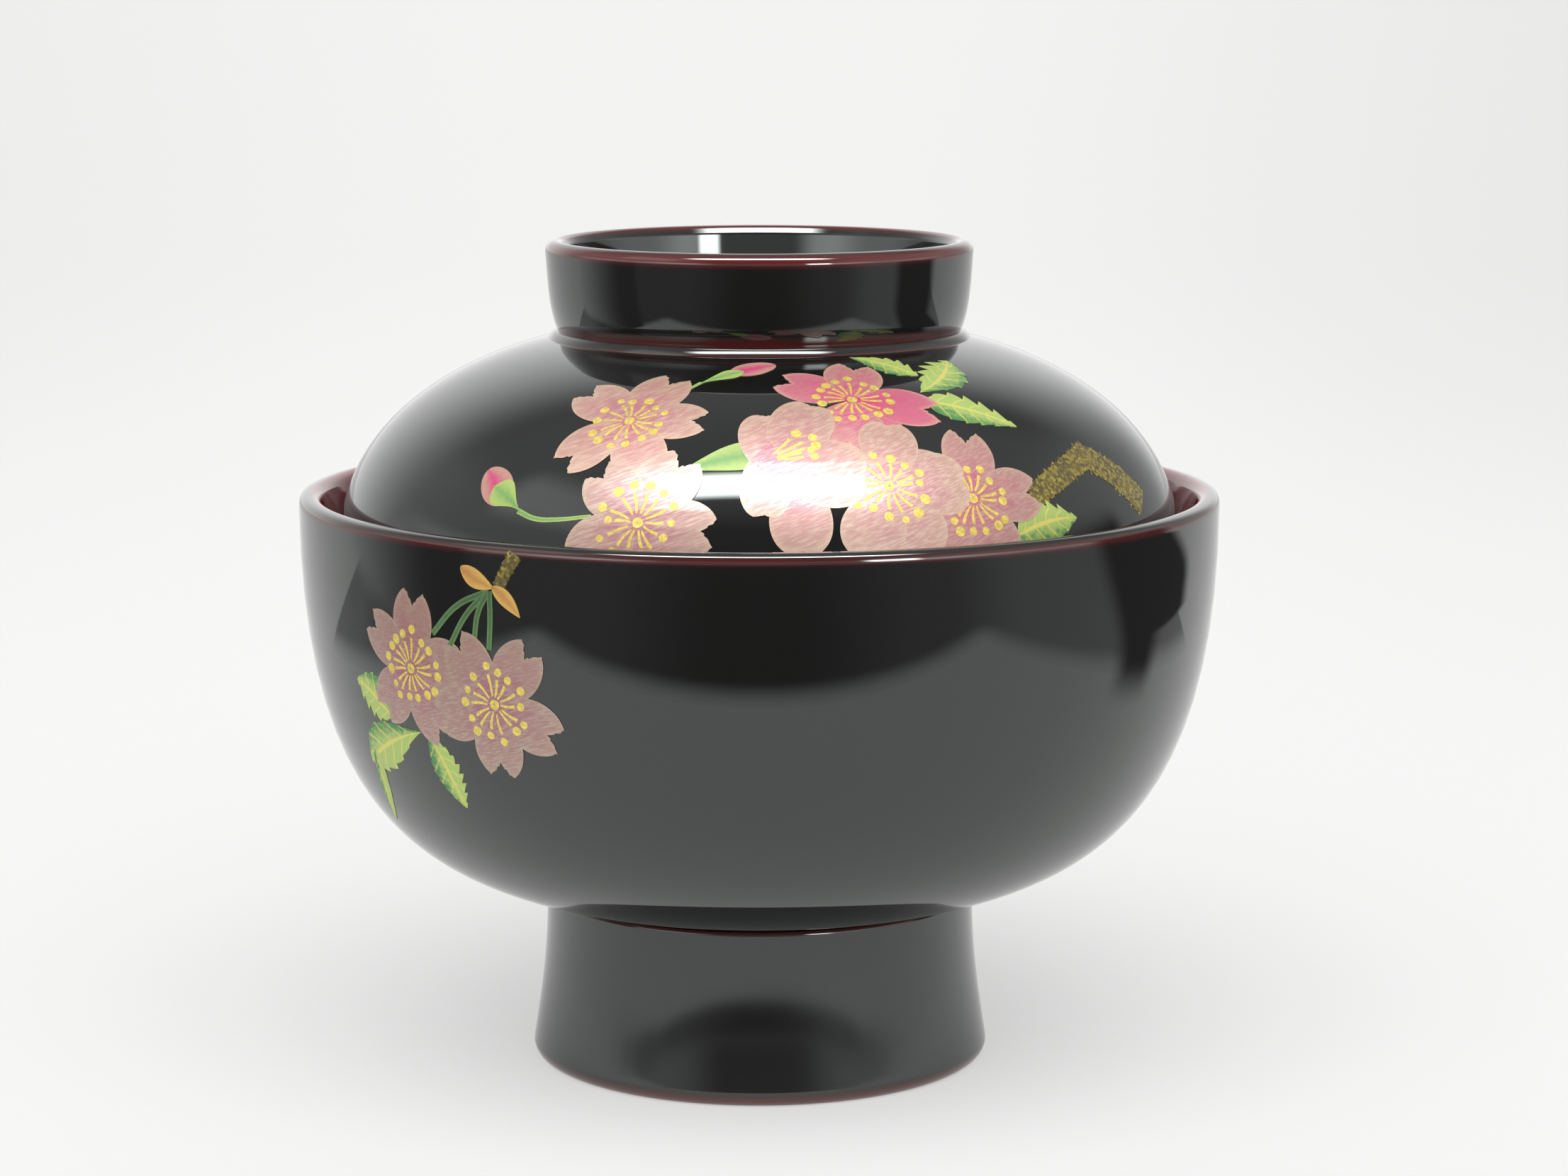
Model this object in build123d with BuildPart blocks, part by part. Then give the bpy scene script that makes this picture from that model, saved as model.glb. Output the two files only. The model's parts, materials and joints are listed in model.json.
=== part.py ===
from build123d import *
from math import atan2, cos, degrees, radians, sin
import os

# A lidded soup bowl: turned wooden cores, a foot and a ring handle glued on, and skins of lacquer.
# Lengths are in millimetres and angles in degrees. The bowl stands on z = 0 and z is its axis.

# Bowl
rim_radius = 60.0
rim_height = 75.5
rim_lip_radius = 1.5
rim_flare = 15.0
belly_slope = 12.0
belly_pull = 17.0
wall_pull = 41.0
seat_depth = 8.0
seat_length = 4.0
hollow_wall_pull = 27.0
hollow_floor_pull = 50.0
floor_thickness = 6.0

# Foot
foot_height = 22.5
foot_radius = 30.1
foot_flare = 9.0
foot_wall_pull = 7.5
foot_step = 0.8
foot_wood_edge_radius = 0.2
toe_radius = 1.8
toe_skin_angle = 45.0
neck_radius = 27.4
foot_thickness = 5.0
recess_depth = 15.0
recess_corner_radius = 3.0

# Lid
seat_gap = 0.25
lid_lip_radius = 1.4
lid_rise = 27.4
dome_slope = 12.5
dome_pull = 10.0
skirt_pull = 17.8
lid_thickness = 4.0
ceiling_pull = 37.0
inner_skirt_pull = 17.0

# Ring handle
ring_height = 12.7
ring_radius = 27.8
ring_lip_radius = 1.4
ring_lean = 4.0
ring_inner_lean = 6.0
ring_base_lean = 22.0
ring_base_pull = 3.0
ring_wall_pull = 4.0
ring_corner_pull = 2.5
ring_inner_pull = 8.5
ring_floor_radius = 21.5
ring_floor_thickness = 2.6
ledge_radius = 27.4
ledge_width = 1.1
ledge_step = 0.5
ledge_rise = 0.6

# Glued joints and lacquer
bowl_spigot_radius = 18.0
bowl_spigot_length = 3.0
ring_spigot_radius = 12.0
ring_spigot_length = 1.5
glue_gap = 0.1
lacquer_thickness = 0.4


def left_of(heading, distance):
    """A step to the left of a heading."""
    return Vector(-sin(radians(heading)), cos(radians(heading))) * distance


def ahead(heading, distance):
    """A step along a heading."""
    return Vector(cos(radians(heading)), sin(radians(heading))) * distance


def inset_point(point, arriving, leaving, inset):
    """A corner of an outline, after the two runs that meet there move left by the inset."""
    first = left_of(arriving, 1)
    second = left_of(leaving, 1)
    return Vector(*point) + (first + second) * (inset / (1 + first.dot(second)))


def flowing_curve(start, leaving, start_pull, end, arriving, end_pull):
    """One smooth curve between two points that leaves and arrives on given headings."""
    start = Vector(*start)
    end = Vector(*end)
    return Bezier(start, start + ahead(leaving, start_pull), end - ahead(arriving, end_pull), end)


# The lip of the bowl is a half round. The inner wall leaves it as a cone, which is the lid's seat.
lip_center = Vector(rim_radius - rim_lip_radius, rim_height - rim_lip_radius)
seat_heading = 270 - rim_flare
seat_top = lip_center - left_of(seat_heading, rim_lip_radius)
seat_height = rim_height - seat_depth
seat_contact = seat_top + ahead(seat_heading, (seat_top.Y - seat_height) / cos(radians(rim_flare)))
seat_bottom = seat_contact + ahead(seat_heading, seat_length)
floor_height = foot_height + floor_thickness
bowl_joint = Vector(neck_radius, foot_height)

# The lid's half-round lip stands off the seat by the seat's gap.
lid_lip_center = seat_contact - left_of(seat_heading, lid_lip_radius + seat_gap)
lid_joint = Vector(ledge_radius, lid_lip_center.Y + lid_rise)
ceiling_height = lid_joint.Y - lid_thickness
ring_top = lid_joint.Y + ring_height
ring_lip_center = Vector(ring_radius - ring_lip_radius, ring_top - ring_lip_radius)
ring_crease = lid_joint + Vector(-ledge_width, ledge_step + ledge_rise)
ledge_heading = 180 - degrees(atan2(ledge_rise, ledge_width))

# The foot stands on a flat land between two rounded toes.
toe_center = Vector(foot_radius - toe_radius, toe_radius)
recess_radius = foot_radius - foot_thickness
inner_toe_center = Vector(recess_radius + toe_radius, toe_radius)
foot_edge_radius = foot_wood_edge_radius + lacquer_thickness
foot_edge_center = Vector(neck_radius + foot_step - foot_edge_radius, foot_height - foot_edge_radius)
recess_corner = Vector(recess_radius - recess_corner_radius, recess_depth - recess_corner_radius)


# Each outline is drawn with the material on its left, and moves into the material by the inset.
def bowl_outside(inset):
    start = inset_point(bowl_joint, belly_slope, belly_slope, inset)
    rim = (rim_radius - inset, lip_center.Y)
    flowing_curve(start, belly_slope, belly_pull, rim, 90, wall_pull)
    crown = CenterArc(lip_center, rim_lip_radius - inset, 0, 90)
    return start, crown @ 1


def bowl_inside(inset):
    crown = CenterArc(lip_center, rim_lip_radius - inset, 90, 90 - rim_flare)
    hollow = inset_point(seat_bottom, seat_heading, seat_heading, inset)
    floor = (0, floor_height - inset)
    Line(crown @ 1, hollow)
    flowing_curve(hollow, seat_heading, hollow_wall_pull, floor, 180, hollow_floor_pull)
    return crown @ 0, floor


def foot_outside(inset):
    toe = CenterArc(toe_center, toe_radius - inset, -toe_skin_angle, toe_skin_angle + foot_flare)
    edge = CenterArc(foot_edge_center, foot_edge_radius - inset, 0, 90)
    shoulder = (neck_radius, foot_height - inset)
    flowing_curve(toe @ 1, 90 + foot_flare, foot_wall_pull, edge @ 0, 90, foot_wall_pull)
    Line(edge @ 1, shoulder)
    return toe @ 0, shoulder


def foot_recess(inset):
    ceiling = (0, recess_depth + inset)
    corner = CenterArc(recess_corner, recess_corner_radius + inset, 90, -90)
    toe = CenterArc(inner_toe_center, toe_radius - inset, 180, toe_skin_angle)
    Line(ceiling, corner @ 0)
    Line(corner @ 1, toe @ 0)
    return ceiling, toe @ 1


def lid_outside(inset):
    lip = CenterArc(lid_lip_center, lid_lip_radius - inset, -90, 90)
    top = inset_point(lid_joint, 180 - dome_slope, 180 - dome_slope, inset)
    flowing_curve(lip @ 1, 90, skirt_pull, top, 180 - dome_slope, dome_pull)
    return lip @ 0, top


def lid_inside(inset):
    ceiling = (0, ceiling_height + inset)
    lip = CenterArc(lid_lip_center, lid_lip_radius - inset, 180, 90)
    flowing_curve(ceiling, 0, ceiling_pull, lip @ 0, 270, inner_skirt_pull)
    return ceiling, lip @ 1


def ring_outside(inset):
    base = inset_point(lid_joint, 90, 90, inset)
    ledge = inset_point(lid_joint + Vector(0, ledge_step), 90, ledge_heading, inset)
    crease = inset_point(ring_crease, ledge_heading, 90 - ring_base_lean, inset)
    lip = CenterArc(ring_lip_center, ring_lip_radius - inset, -ring_lean, 180 + ring_lean - ring_inner_lean)
    inner_heading = 270 - ring_inner_lean
    corner = (ring_floor_radius, lid_joint.Y + ring_floor_thickness - inset)
    middle = (0, lid_joint.Y + ring_floor_thickness - inset)
    Line(base, ledge)
    Line(ledge, crease)
    flowing_curve(crease, 90 - ring_base_lean, ring_base_pull, lip @ 0, 90 - ring_lean, ring_wall_pull)
    flowing_curve(lip @ 1, inner_heading, ring_inner_pull, corner, 180, ring_corner_pull)
    Line(corner, middle)
    return base, middle


def skin(outline):
    """The section of the lacquer over an outline."""
    with BuildSketch(Plane.XZ) as section:
        with BuildLine():
            face_start, face_end = outline(0)
            back_start, back_end = outline(lacquer_thickness)
            Line(face_start, back_start)
            Line(face_end, back_end)
        make_face()
    return section.sketch


# Wooden cores
with BuildPart() as bowl_core:
    with BuildSketch(Plane.XZ):
        with BuildLine():
            belly, crown = bowl_outside(lacquer_thickness)
            crown, floor = bowl_inside(lacquer_thickness)
            spigot_end = foot_height - bowl_spigot_length
            Polyline(
                floor,
                (0, spigot_end),
                (bowl_spigot_radius, spigot_end),
                (bowl_spigot_radius, foot_height),
                bowl_joint,
                belly,
            )
        make_face()
    revolve(axis=Axis.Z)
bowl_core.part.label = "bowl_core"

with BuildPart() as foot:
    with BuildSketch(Plane.XZ):
        with BuildLine():
            toe, shoulder = foot_outside(lacquer_thickness)
            ceiling, inner_toe = foot_recess(lacquer_thickness)
            socket_radius = bowl_spigot_radius + glue_gap
            socket_floor = foot_height - bowl_spigot_length - glue_gap
            Polyline(
                shoulder,
                bowl_joint,
                (socket_radius, foot_height),
                (socket_radius, socket_floor),
                (0, socket_floor),
                ceiling,
            )
            inner_land = CenterArc(inner_toe_center, toe_radius, 180 + toe_skin_angle, 90 - toe_skin_angle)
            outer_land = CenterArc(toe_center, toe_radius, -90, 90 - toe_skin_angle)
            Line(inner_toe, inner_land @ 0)
            Line(inner_land @ 1, outer_land @ 0)
            Line(outer_land @ 1, toe)
        make_face()
    revolve(axis=Axis.Z)
foot.part.label = "foot"

with BuildPart() as lid_core:
    with BuildSketch(Plane.XZ):
        with BuildLine():
            lip, top = lid_outside(lacquer_thickness)
            ceiling, lip = lid_inside(lacquer_thickness)
            socket_radius = ring_spigot_radius + glue_gap
            socket_floor = lid_joint.Y - ring_spigot_length - glue_gap
            Polyline(
                top,
                lid_joint,
                (socket_radius, lid_joint.Y),
                (socket_radius, socket_floor),
                (0, socket_floor),
                ceiling,
            )
        make_face()
    revolve(axis=Axis.Z)
lid_core.part.label = "lid_core"

with BuildPart() as lid_ring:
    with BuildSketch(Plane.XZ):
        with BuildLine():
            base, middle = ring_outside(lacquer_thickness)
            spigot_end = lid_joint.Y - ring_spigot_length
            Polyline(
                middle,
                (0, spigot_end),
                (ring_spigot_radius, spigot_end),
                (ring_spigot_radius, lid_joint.Y),
                base,
            )
        make_face()
    revolve(axis=Axis.Z)
lid_ring.part.label = "lid_ring"

# Lacquer skins
skin_outlines = {
    "bowl_outer_coat": bowl_outside,
    "bowl_inner_coat": bowl_inside,
    "foot_outer_coat": foot_outside,
    "foot_recess_coat": foot_recess,
    "lid_outer_coat": lid_outside,
    "lid_inner_coat": lid_inside,
    "lid_ring_coat": ring_outside,
}
pieces = [bowl_core, foot, lid_core, lid_ring]
for name, outline in skin_outlines.items():
    with BuildPart() as coat:
        add(skin(outline))
        revolve(axis=Axis.Z)
    coat.part.label = name
    pieces.append(coat)

os.makedirs("parts", exist_ok=True)
for piece in pieces:
    export_step(piece.part, f"parts/{piece.part.label}.step")
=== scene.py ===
"""A lidded soup bowl of turned wood, finished in dark lacquer and painted with cherry blossom.

The file is laid out as an add-on. Run as a script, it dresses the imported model: it turns the lacquer skins,
paints the blossom on them and sets up a plain studio. Lengths are in metres and angles in radians, and an
azimuth is measured round the axis from the front, towards the right.
"""

import json
from collections import namedtuple
from math import cos, pi, radians, sin, tan

import bpy
from bpy.props import FloatProperty, FloatVectorProperty, IntProperty, PointerProperty
from mathutils import Matrix, Vector

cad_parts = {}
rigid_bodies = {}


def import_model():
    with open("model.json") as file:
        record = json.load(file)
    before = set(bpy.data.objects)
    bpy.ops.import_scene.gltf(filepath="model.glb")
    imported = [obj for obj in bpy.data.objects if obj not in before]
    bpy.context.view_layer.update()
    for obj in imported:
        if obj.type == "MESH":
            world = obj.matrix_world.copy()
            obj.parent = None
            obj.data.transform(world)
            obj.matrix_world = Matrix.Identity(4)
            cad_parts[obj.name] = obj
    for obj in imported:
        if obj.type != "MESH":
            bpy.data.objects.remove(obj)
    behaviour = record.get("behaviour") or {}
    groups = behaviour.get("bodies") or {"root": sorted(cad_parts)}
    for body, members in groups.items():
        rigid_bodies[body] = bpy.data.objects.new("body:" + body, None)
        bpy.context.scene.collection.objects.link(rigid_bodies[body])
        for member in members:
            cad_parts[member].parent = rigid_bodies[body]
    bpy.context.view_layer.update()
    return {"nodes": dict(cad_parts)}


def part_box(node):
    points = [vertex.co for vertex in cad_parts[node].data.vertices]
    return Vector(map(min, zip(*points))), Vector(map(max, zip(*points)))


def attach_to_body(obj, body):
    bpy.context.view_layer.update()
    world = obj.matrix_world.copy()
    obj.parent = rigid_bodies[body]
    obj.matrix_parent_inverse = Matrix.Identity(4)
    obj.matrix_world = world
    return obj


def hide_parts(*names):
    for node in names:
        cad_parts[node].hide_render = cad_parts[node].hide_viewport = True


bl_info = {
    "name": "Lidded lacquer bowl",
    "version": (1, 0, 0),
    "blender": (4, 5, 0),
    "location": "View3D > Sidebar > Bowl",
    "description": "Turns, lacquers and paints a lidded soup bowl around its packed model",
    "category": "Object",
}

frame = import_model()
bowl_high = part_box("bowl_outer_coat")[1]
foot_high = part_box("foot_outer_coat")[1]
lid_low, lid_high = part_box("lid_outer_coat")
ring_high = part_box("lid_ring_coat")[1]

MM = 0.001

# Shape of the bowl's section
BELLY_SLOPE = radians(12)
BELLY_PULL = 17 * MM
WALL_PULL = 41 * MM
RIM_LIP = 1.5 * MM
RIM_CORNER = 1.1 * MM
RIM_FLARE = radians(15)
SEAT_DEPTH = 12 * MM
HOLLOW_WALL_PULL = 27 * MM
HOLLOW_FLOOR_PULL = 50 * MM
FLOOR_THICKNESS = 6 * MM
NECK_RADIUS = 27.4 * MM

# Shape of the foot's section
FOOT_FLARE = radians(9)
FOOT_WALL_PULL = 7.5 * MM
FOOT_STEP = 0.8 * MM
FOOT_EDGE = 0.6 * MM
FOOT_TOE = 1.8 * MM
FOOT_THICKNESS = 5 * MM
RECESS_DEPTH = 15 * MM
RECESS_CORNER = 3 * MM

# Shape of the lid's section
LID_LIP = 1.4 * MM
DOME_SLOPE = radians(12.5)
DOME_PULL = 10 * MM
SKIRT_PULL = 17.8 * MM
LID_THICKNESS = 4 * MM
CEILING_PULL = 37 * MM
INNER_SKIRT_PULL = 17 * MM

# Shape of the ring handle's section
RING_LIP = 1.4 * MM
RING_CROWN = radians(130)
RING_BEVEL = radians(161)
RING_LEAN = radians(4)
RING_INNER_LEAN = radians(6)
RING_BASE_LEAN = radians(22)
RING_BASE_PULL = 3 * MM
RING_WALL_PULL = 4 * MM
RING_INNER_PULL = 8.5 * MM
RING_CORNER_PULL = 2.5 * MM
RING_FLOOR_RADIUS = 21.5 * MM
RING_FLOOR_THICKNESS = 2.6 * MM
LEDGE_WIDTH = 1.1 * MM
LEDGE_RISE = 1.1 * MM
LEDGE_BEVEL_WIDTH = 0.75 * MM
LEDGE_BEVEL_RISE = 0.98 * MM
LEDGE_BEVEL_PULL = 0.4 * MM
LEDGE_BEVEL_START = radians(24)
LEDGE_BEVEL_END = radians(54)

# How finely the outlines are turned
AXIS_RADIUS = 0.001 * MM
OUTLINE_STEPS = 20
SHARP_ANGLE = radians(35)


def length(name, description, default):
    """A length that a user can change."""
    return FloatProperty(
        name=name, description=description, default=default, min=0, precision=5, unit="LENGTH"
    )


def angle(name, description, default):
    """An angle that a user can change."""
    return FloatProperty(name=name, description=description, default=default, subtype="ANGLE")


def share(name, description, default):
    """A share from none to all that a user can change."""
    return FloatProperty(
        name=name, description=description, default=default, min=0, max=1, subtype="FACTOR"
    )


def level(name, description, default):
    """A plain number that a user can change."""
    return FloatProperty(name=name, description=description, default=default, min=0)


def count(name, description, default, lowest):
    """A whole number that a user can change."""
    return IntProperty(name=name, description=description, default=default, min=lowest)


def colour(name, description, default):
    """A colour that a user can change."""
    return FloatVectorProperty(
        name=name, description=description, default=default, min=0, max=1, size=3, subtype="COLOR"
    )


class BowlSizes(bpy.types.PropertyGroup):
    """Sizes of the turned pieces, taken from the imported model."""

    rim_radius: length("Rim radius", "Outer radius of the bowl's rim", bowl_high.x)
    rim_height: length("Rim height", "Height of the rim's crown above the table", bowl_high.z)
    foot_height: length("Foot height", "Height of the foot's top edge", foot_high.z)
    foot_radius: length("Foot radius", "Outer radius of the foot at its toe", foot_high.x)
    lid_radius: length("Lid radius", "Outer radius of the lid's lip", lid_high.x)
    lid_base: length("Lid base", "Height of the lid's lip in its seat", lid_low.z)
    lid_top: length("Lid top", "Height where the ring handle stands on the dome", lid_high.z)
    ring_radius: length("Ring radius", "Outer radius of the ring handle's lip", ring_high.x)
    ring_top: length("Ring top", "Height of the ring handle's lip", ring_high.z)
    lacquer: length("Lacquer", "Thickness of a lacquer skin", 0.4 * MM)
    facets: count("Facets", "Facets round each turned piece", 256, 32)


class BowlColours(bpy.types.PropertyGroup):
    """Colours of the lacquer, the wood and the paints."""

    dark: colour("Dark lacquer", "The outer lacquer", (0.0088, 0.0087, 0.0084))
    edge: colour("Edge red", "Red undercoat that shows at the edges", (0.110, 0.012, 0.013))
    inner: colour("Inner red", "The inner lacquer", (0.210, 0.017, 0.019))
    wood: colour("Wood", "The turned cores", (0.42, 0.27, 0.15))
    petal_pale: colour("Pale petal", "Outer part of a petal", (0.52, 0.28, 0.215))
    petal_deep: colour("Deep petal", "Inner part of a petal", (0.44, 0.127, 0.18))
    petal_rose: colour("Rose petal", "Inner part of a strongly coloured petal", (0.60, 0.035, 0.18))
    petal_edge: colour("Petal edge", "Powder on a petal, and its pale edge", (0.66, 0.49, 0.31))
    gold: colour("Gold", "Stamens and veins", (0.87, 0.69, 0.14))
    leaf_light: colour("Light leaf", "Sunny side of a leaf", (0.40, 0.54, 0.14))
    leaf_dark: colour("Dark leaf", "Shaded side of a leaf", (0.06, 0.23, 0.07))
    stem: colour("Stem", "Flower stems", (0.04, 0.095, 0.034))
    stem_light: colour("Light stem", "Lit side of a stem", (0.10, 0.20, 0.065))
    calyx: colour("Calyx", "Shaded middle of a calyx", (0.17, 0.36, 0.10))
    bract: colour("Bract", "Orange bud scales", (0.46, 0.21, 0.05))
    bract_light: colour("Light bract", "Edges of the bud scales", (0.58, 0.36, 0.08))
    fleck: colour("Gold fleck", "Gold flakes on the bough", (0.205, 0.168, 0.062))
    bark: colour("Bark", "Dark ground under the gold flakes", (0.090, 0.072, 0.026))
    floor: colour("Floor", "Paper that the bowl stands on", (0.466, 0.467, 0.463))


class PaintSizes(bpy.types.PropertyGroup):
    """Sizes of the painted flowers."""

    petal: length("Petal length", "From the middle of a blossom to a petal's tip", 9.8 * MM)
    notch: share("Notch", "Depth of the notch in a petal's tip, as a share of its length", 0.2)
    fray: share("Fray", "Depth of the small teeth in the notch", 0.05)
    stamens: count("Stamens", "Stamens in an open blossom", 16, 3)
    filament: length("Filament", "Width of a stamen's thread", 0.42 * MM)
    anther: length("Anther", "Radius of the dot on a stamen", 0.6 * MM)
    film: length("Film", "Thickness of the paint", 0.05 * MM)
    layer: length("Layer", "Rise from one layer of paint to the next", 0.006 * MM)


class StudioSettings(bpy.types.PropertyGroup):
    """Camera, floor and lights."""

    distance: length("Distance", "From the camera to the bowl's axis", 0.5361)
    height: length("Camera height", "Height of the camera above the table", 0.1462)
    pitch: angle("Pitch", "How far the camera looks down", radians(8.914))
    swing: angle("Swing", "How far the camera looks to the right of the axis", radians(0.342))
    lens: level("Lens", "Focal length in millimetres", 94.7)
    paper_front: length("Paper front", "From the axis to the front edge of the paper", 0.165)
    paper_side: length("Paper side", "From the axis to the side edges of the paper", 0.2)
    key_level: level("Key level", "Strength of the broad overhead light", 2.4)
    key_spread: angle("Key spread", "Width of the overhead light, as an angle", radians(80))
    key_tilt: angle("Key tilt", "How far the overhead light leans to the front", radians(38))


class Wire:
    """A socket of a node tree. Arithmetic on it adds Math nodes, and node() adds any other kind."""

    def __init__(self, tree, socket=None):
        self.tree = tree
        self.socket = socket

    def node(self, kind, settings=None, inputs=None):
        """Add a node, change its settings, then set or link its inputs."""
        node = self.tree.nodes.new(kind)
        for name, value in (settings or {}).items():
            setattr(node, name, value)
        for name, value in (inputs or {}).items():
            socket = open_socket(node.inputs, name)
            if isinstance(value, Wire):
                self.tree.links.new(value.socket, socket)
            else:
                socket.default_value = value
        outputs = [socket for socket in node.outputs if socket.enabled]
        return Wire(self.tree, outputs[0] if outputs else None)

    def out(self, name):
        """Another output of the same node."""
        return Wire(self.tree, open_socket(self.socket.node.outputs, name))

    def math(self, operation, *others):
        """A Math node on this value and others."""
        return self.node("ShaderNodeMath", {"operation": operation}, dict(enumerate((self, *others))))

    def step(self, low, high):
        """A smooth rise from 0 at the low value to 1 at the high one."""
        return self.node(
            "ShaderNodeMapRange",
            {"interpolation_type": "SMOOTHSTEP"},
            {"Value": self, "From Min": low, "From Max": high},
        )

    def __add__(self, other):
        return self.math("ADD", other)

    def __sub__(self, other):
        return self.math("SUBTRACT", other)

    def __rsub__(self, other):
        return self.node("ShaderNodeMath", {"operation": "SUBTRACT"}, {0: other, 1: self})

    def __mul__(self, other):
        return self.math("MULTIPLY", other)

    def __truediv__(self, other):
        return self.math("DIVIDE", other)

    def __pow__(self, other):
        return self.math("POWER", other)

    def __abs__(self):
        return self.math("ABSOLUTE")

    __radd__ = __add__
    __rmul__ = __mul__


def open_socket(sockets, name):
    """A socket by its number, or the one in use that has the name."""
    if isinstance(name, int):
        return sockets[name]
    return next(socket for socket in sockets if socket.enabled and socket.name == name)


def solid(shade):
    """A colour with full alpha."""
    return (*shade, 1)


def shaded(shade, amount):
    """A colour darkened to an amount of itself."""
    return tuple(value * amount for value in shade)


def parts_of(bench, place):
    """The x, y and z of a vector."""
    x = bench.node("ShaderNodeSeparateXYZ", {}, {"Vector": place})
    return x, x.out("Y"), x.out("Z")


def vector(bench, x, y, z):
    """A vector from its three parts."""
    return bench.node("ShaderNodeCombineXYZ", {}, {"X": x, "Y": y, "Z": z})


def vector_math(bench, operation, inputs):
    """A Vector Math node."""
    return bench.node("ShaderNodeVectorMath", {"operation": operation}, inputs)


def span(first, second):
    """The length of a step from its two square parts."""
    return (first ** 2 + second ** 2) ** 0.5


def noise(bench, place, scale, detail=2.0, roughness=0.5):
    """Soft noise from 0 to 1 over a vector."""
    return bench.node(
        "ShaderNodeTexNoise",
        {},
        {"Vector": place, "Scale": scale, "Detail": detail, "Roughness": roughness},
    )


# Turned pieces


def along(heading, distance):
    """A step along a heading in a section."""
    return Vector((cos(heading), sin(heading))) * distance


class Outline:
    """A line of a section, in radius and height, with the wood on its left. It is kept as Bezier knots."""

    def __init__(self, start):
        start = Vector(start)
        self.knots = [[start, start, start]]

    def pull(self, leaving, arriving, end):
        """Go to the end, leaving and arriving through two handles."""
        self.knots[-1][2] = leaving
        self.knots.append([arriving, end, end])

    def curve(self, heading, pull, end, end_heading, end_pull):
        """A smooth curve that leaves and arrives on given headings."""
        end = Vector(end)
        self.pull(self.knots[-1][1] + along(heading, pull), end - along(end_heading, end_pull), end)

    def line(self, end):
        """A straight line."""
        start, end = self.knots[-1][1], Vector(end)
        self.pull(start.lerp(end, 1 / 3), start.lerp(end, 2 / 3), end)

    def arc(self, centre, radius, start, sweep):
        """An arc about a centre, in quarter turns or less, with a line to its start where that is apart."""
        centre = Vector(centre)
        first = centre + along(start, radius)
        if (first - self.knots[-1][1]).length > AXIS_RADIUS:
            self.line(first)
        runs = 1 + int(abs(sweep) / (pi / 2 + AXIS_RADIUS))
        turn_angle = sweep / runs
        handle = 4 / 3 * tan(turn_angle / 4) * radius
        for run in range(runs):
            begin, end = start + run * turn_angle, start + (run + 1) * turn_angle
            last = centre + along(end, radius)
            self.pull(
                centre + along(begin, radius) + along(begin + pi / 2, handle),
                last - along(end + pi / 2, handle),
                last,
            )

    def make_object(self, name):
        """The outline as a curve object.

        The sweep adds its own radius and turns heights over, so both are undone here.
        """
        curve = bpy.data.curves.new(name, "CURVE")
        curve.dimensions = "3D"
        curve.resolution_u = OUTLINE_STEPS
        spline = curve.splines.new("BEZIER")
        spline.bezier_points.add(len(self.knots) - 1)
        for point, (before, place, after) in zip(spline.bezier_points, self.knots):
            point.handle_left_type = point.handle_right_type = "FREE"
            point.handle_left = (before.x - AXIS_RADIUS, -before.y, 0)
            point.co = (place.x - AXIS_RADIUS, -place.y, 0)
            point.handle_right = (after.x - AXIS_RADIUS, -after.y, 0)
        return bpy.data.objects.new(name, curve)


def bowl_outside(sizes):
    """Outside of the bowl, from the foot up the belly to the crown of the rim."""
    corner = (sizes.rim_radius, sizes.rim_height - RIM_LIP)
    crown = (sizes.rim_radius - RIM_LIP, sizes.rim_height)
    outline = Outline((NECK_RADIUS, sizes.foot_height))
    outline.curve(BELLY_SLOPE, BELLY_PULL, corner, pi / 2, WALL_PULL)
    outline.curve(pi / 2, RIM_CORNER, crown, pi, RIM_CORNER)
    return outline


def bowl_inside(sizes):
    """Inside of the bowl, from the crown of the rim down the lid's seat to the middle of the floor."""
    lip = Vector((sizes.rim_radius - RIM_LIP, sizes.rim_height - RIM_LIP))
    seat_heading = 3 * pi / 2 - RIM_FLARE
    floor = (0, sizes.foot_height + FLOOR_THICKNESS)
    outline = Outline(lip + along(pi / 2, RIM_LIP))
    outline.arc(lip, RIM_LIP, pi / 2, pi / 2 - RIM_FLARE)
    seat_top = outline.knots[-1][1]
    outline.line(seat_top + along(seat_heading, SEAT_DEPTH - RIM_LIP))
    outline.curve(seat_heading, HOLLOW_WALL_PULL, floor, pi, HOLLOW_FLOOR_PULL)
    return outline


def whole_foot(sizes):
    """The foot all round, from the ceiling of its recess over both toes to its top."""
    recess = sizes.foot_radius - FOOT_THICKNESS
    edge = (NECK_RADIUS + FOOT_STEP - FOOT_EDGE, sizes.foot_height - FOOT_EDGE)
    edge_start = (edge[0] + FOOT_EDGE, edge[1])
    outline = Outline((0, RECESS_DEPTH))
    outline.arc((recess - RECESS_CORNER, RECESS_DEPTH - RECESS_CORNER), RECESS_CORNER, pi / 2, -pi / 2)
    outline.arc((recess + FOOT_TOE, FOOT_TOE), FOOT_TOE, pi, pi / 2)
    outline.arc((sizes.foot_radius - FOOT_TOE, FOOT_TOE), FOOT_TOE, -pi / 2, pi / 2 + FOOT_FLARE)
    outline.curve(pi / 2 + FOOT_FLARE, FOOT_WALL_PULL, edge_start, pi / 2, FOOT_WALL_PULL)
    outline.arc(edge, FOOT_EDGE, 0, pi / 2)
    outline.line((0, sizes.foot_height))
    return outline


def lid_outside(sizes):
    """Outside of the lid, from the bottom of its lip up to the ring handle."""
    lip = (sizes.lid_radius - LID_LIP, sizes.lid_base + LID_LIP)
    top = (NECK_RADIUS, sizes.lid_top)
    outline = Outline((lip[0], sizes.lid_base))
    outline.arc(lip, LID_LIP, -pi / 2, pi / 2)
    outline.curve(pi / 2, SKIRT_PULL, top, pi - DOME_SLOPE, DOME_PULL)
    return outline


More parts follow.
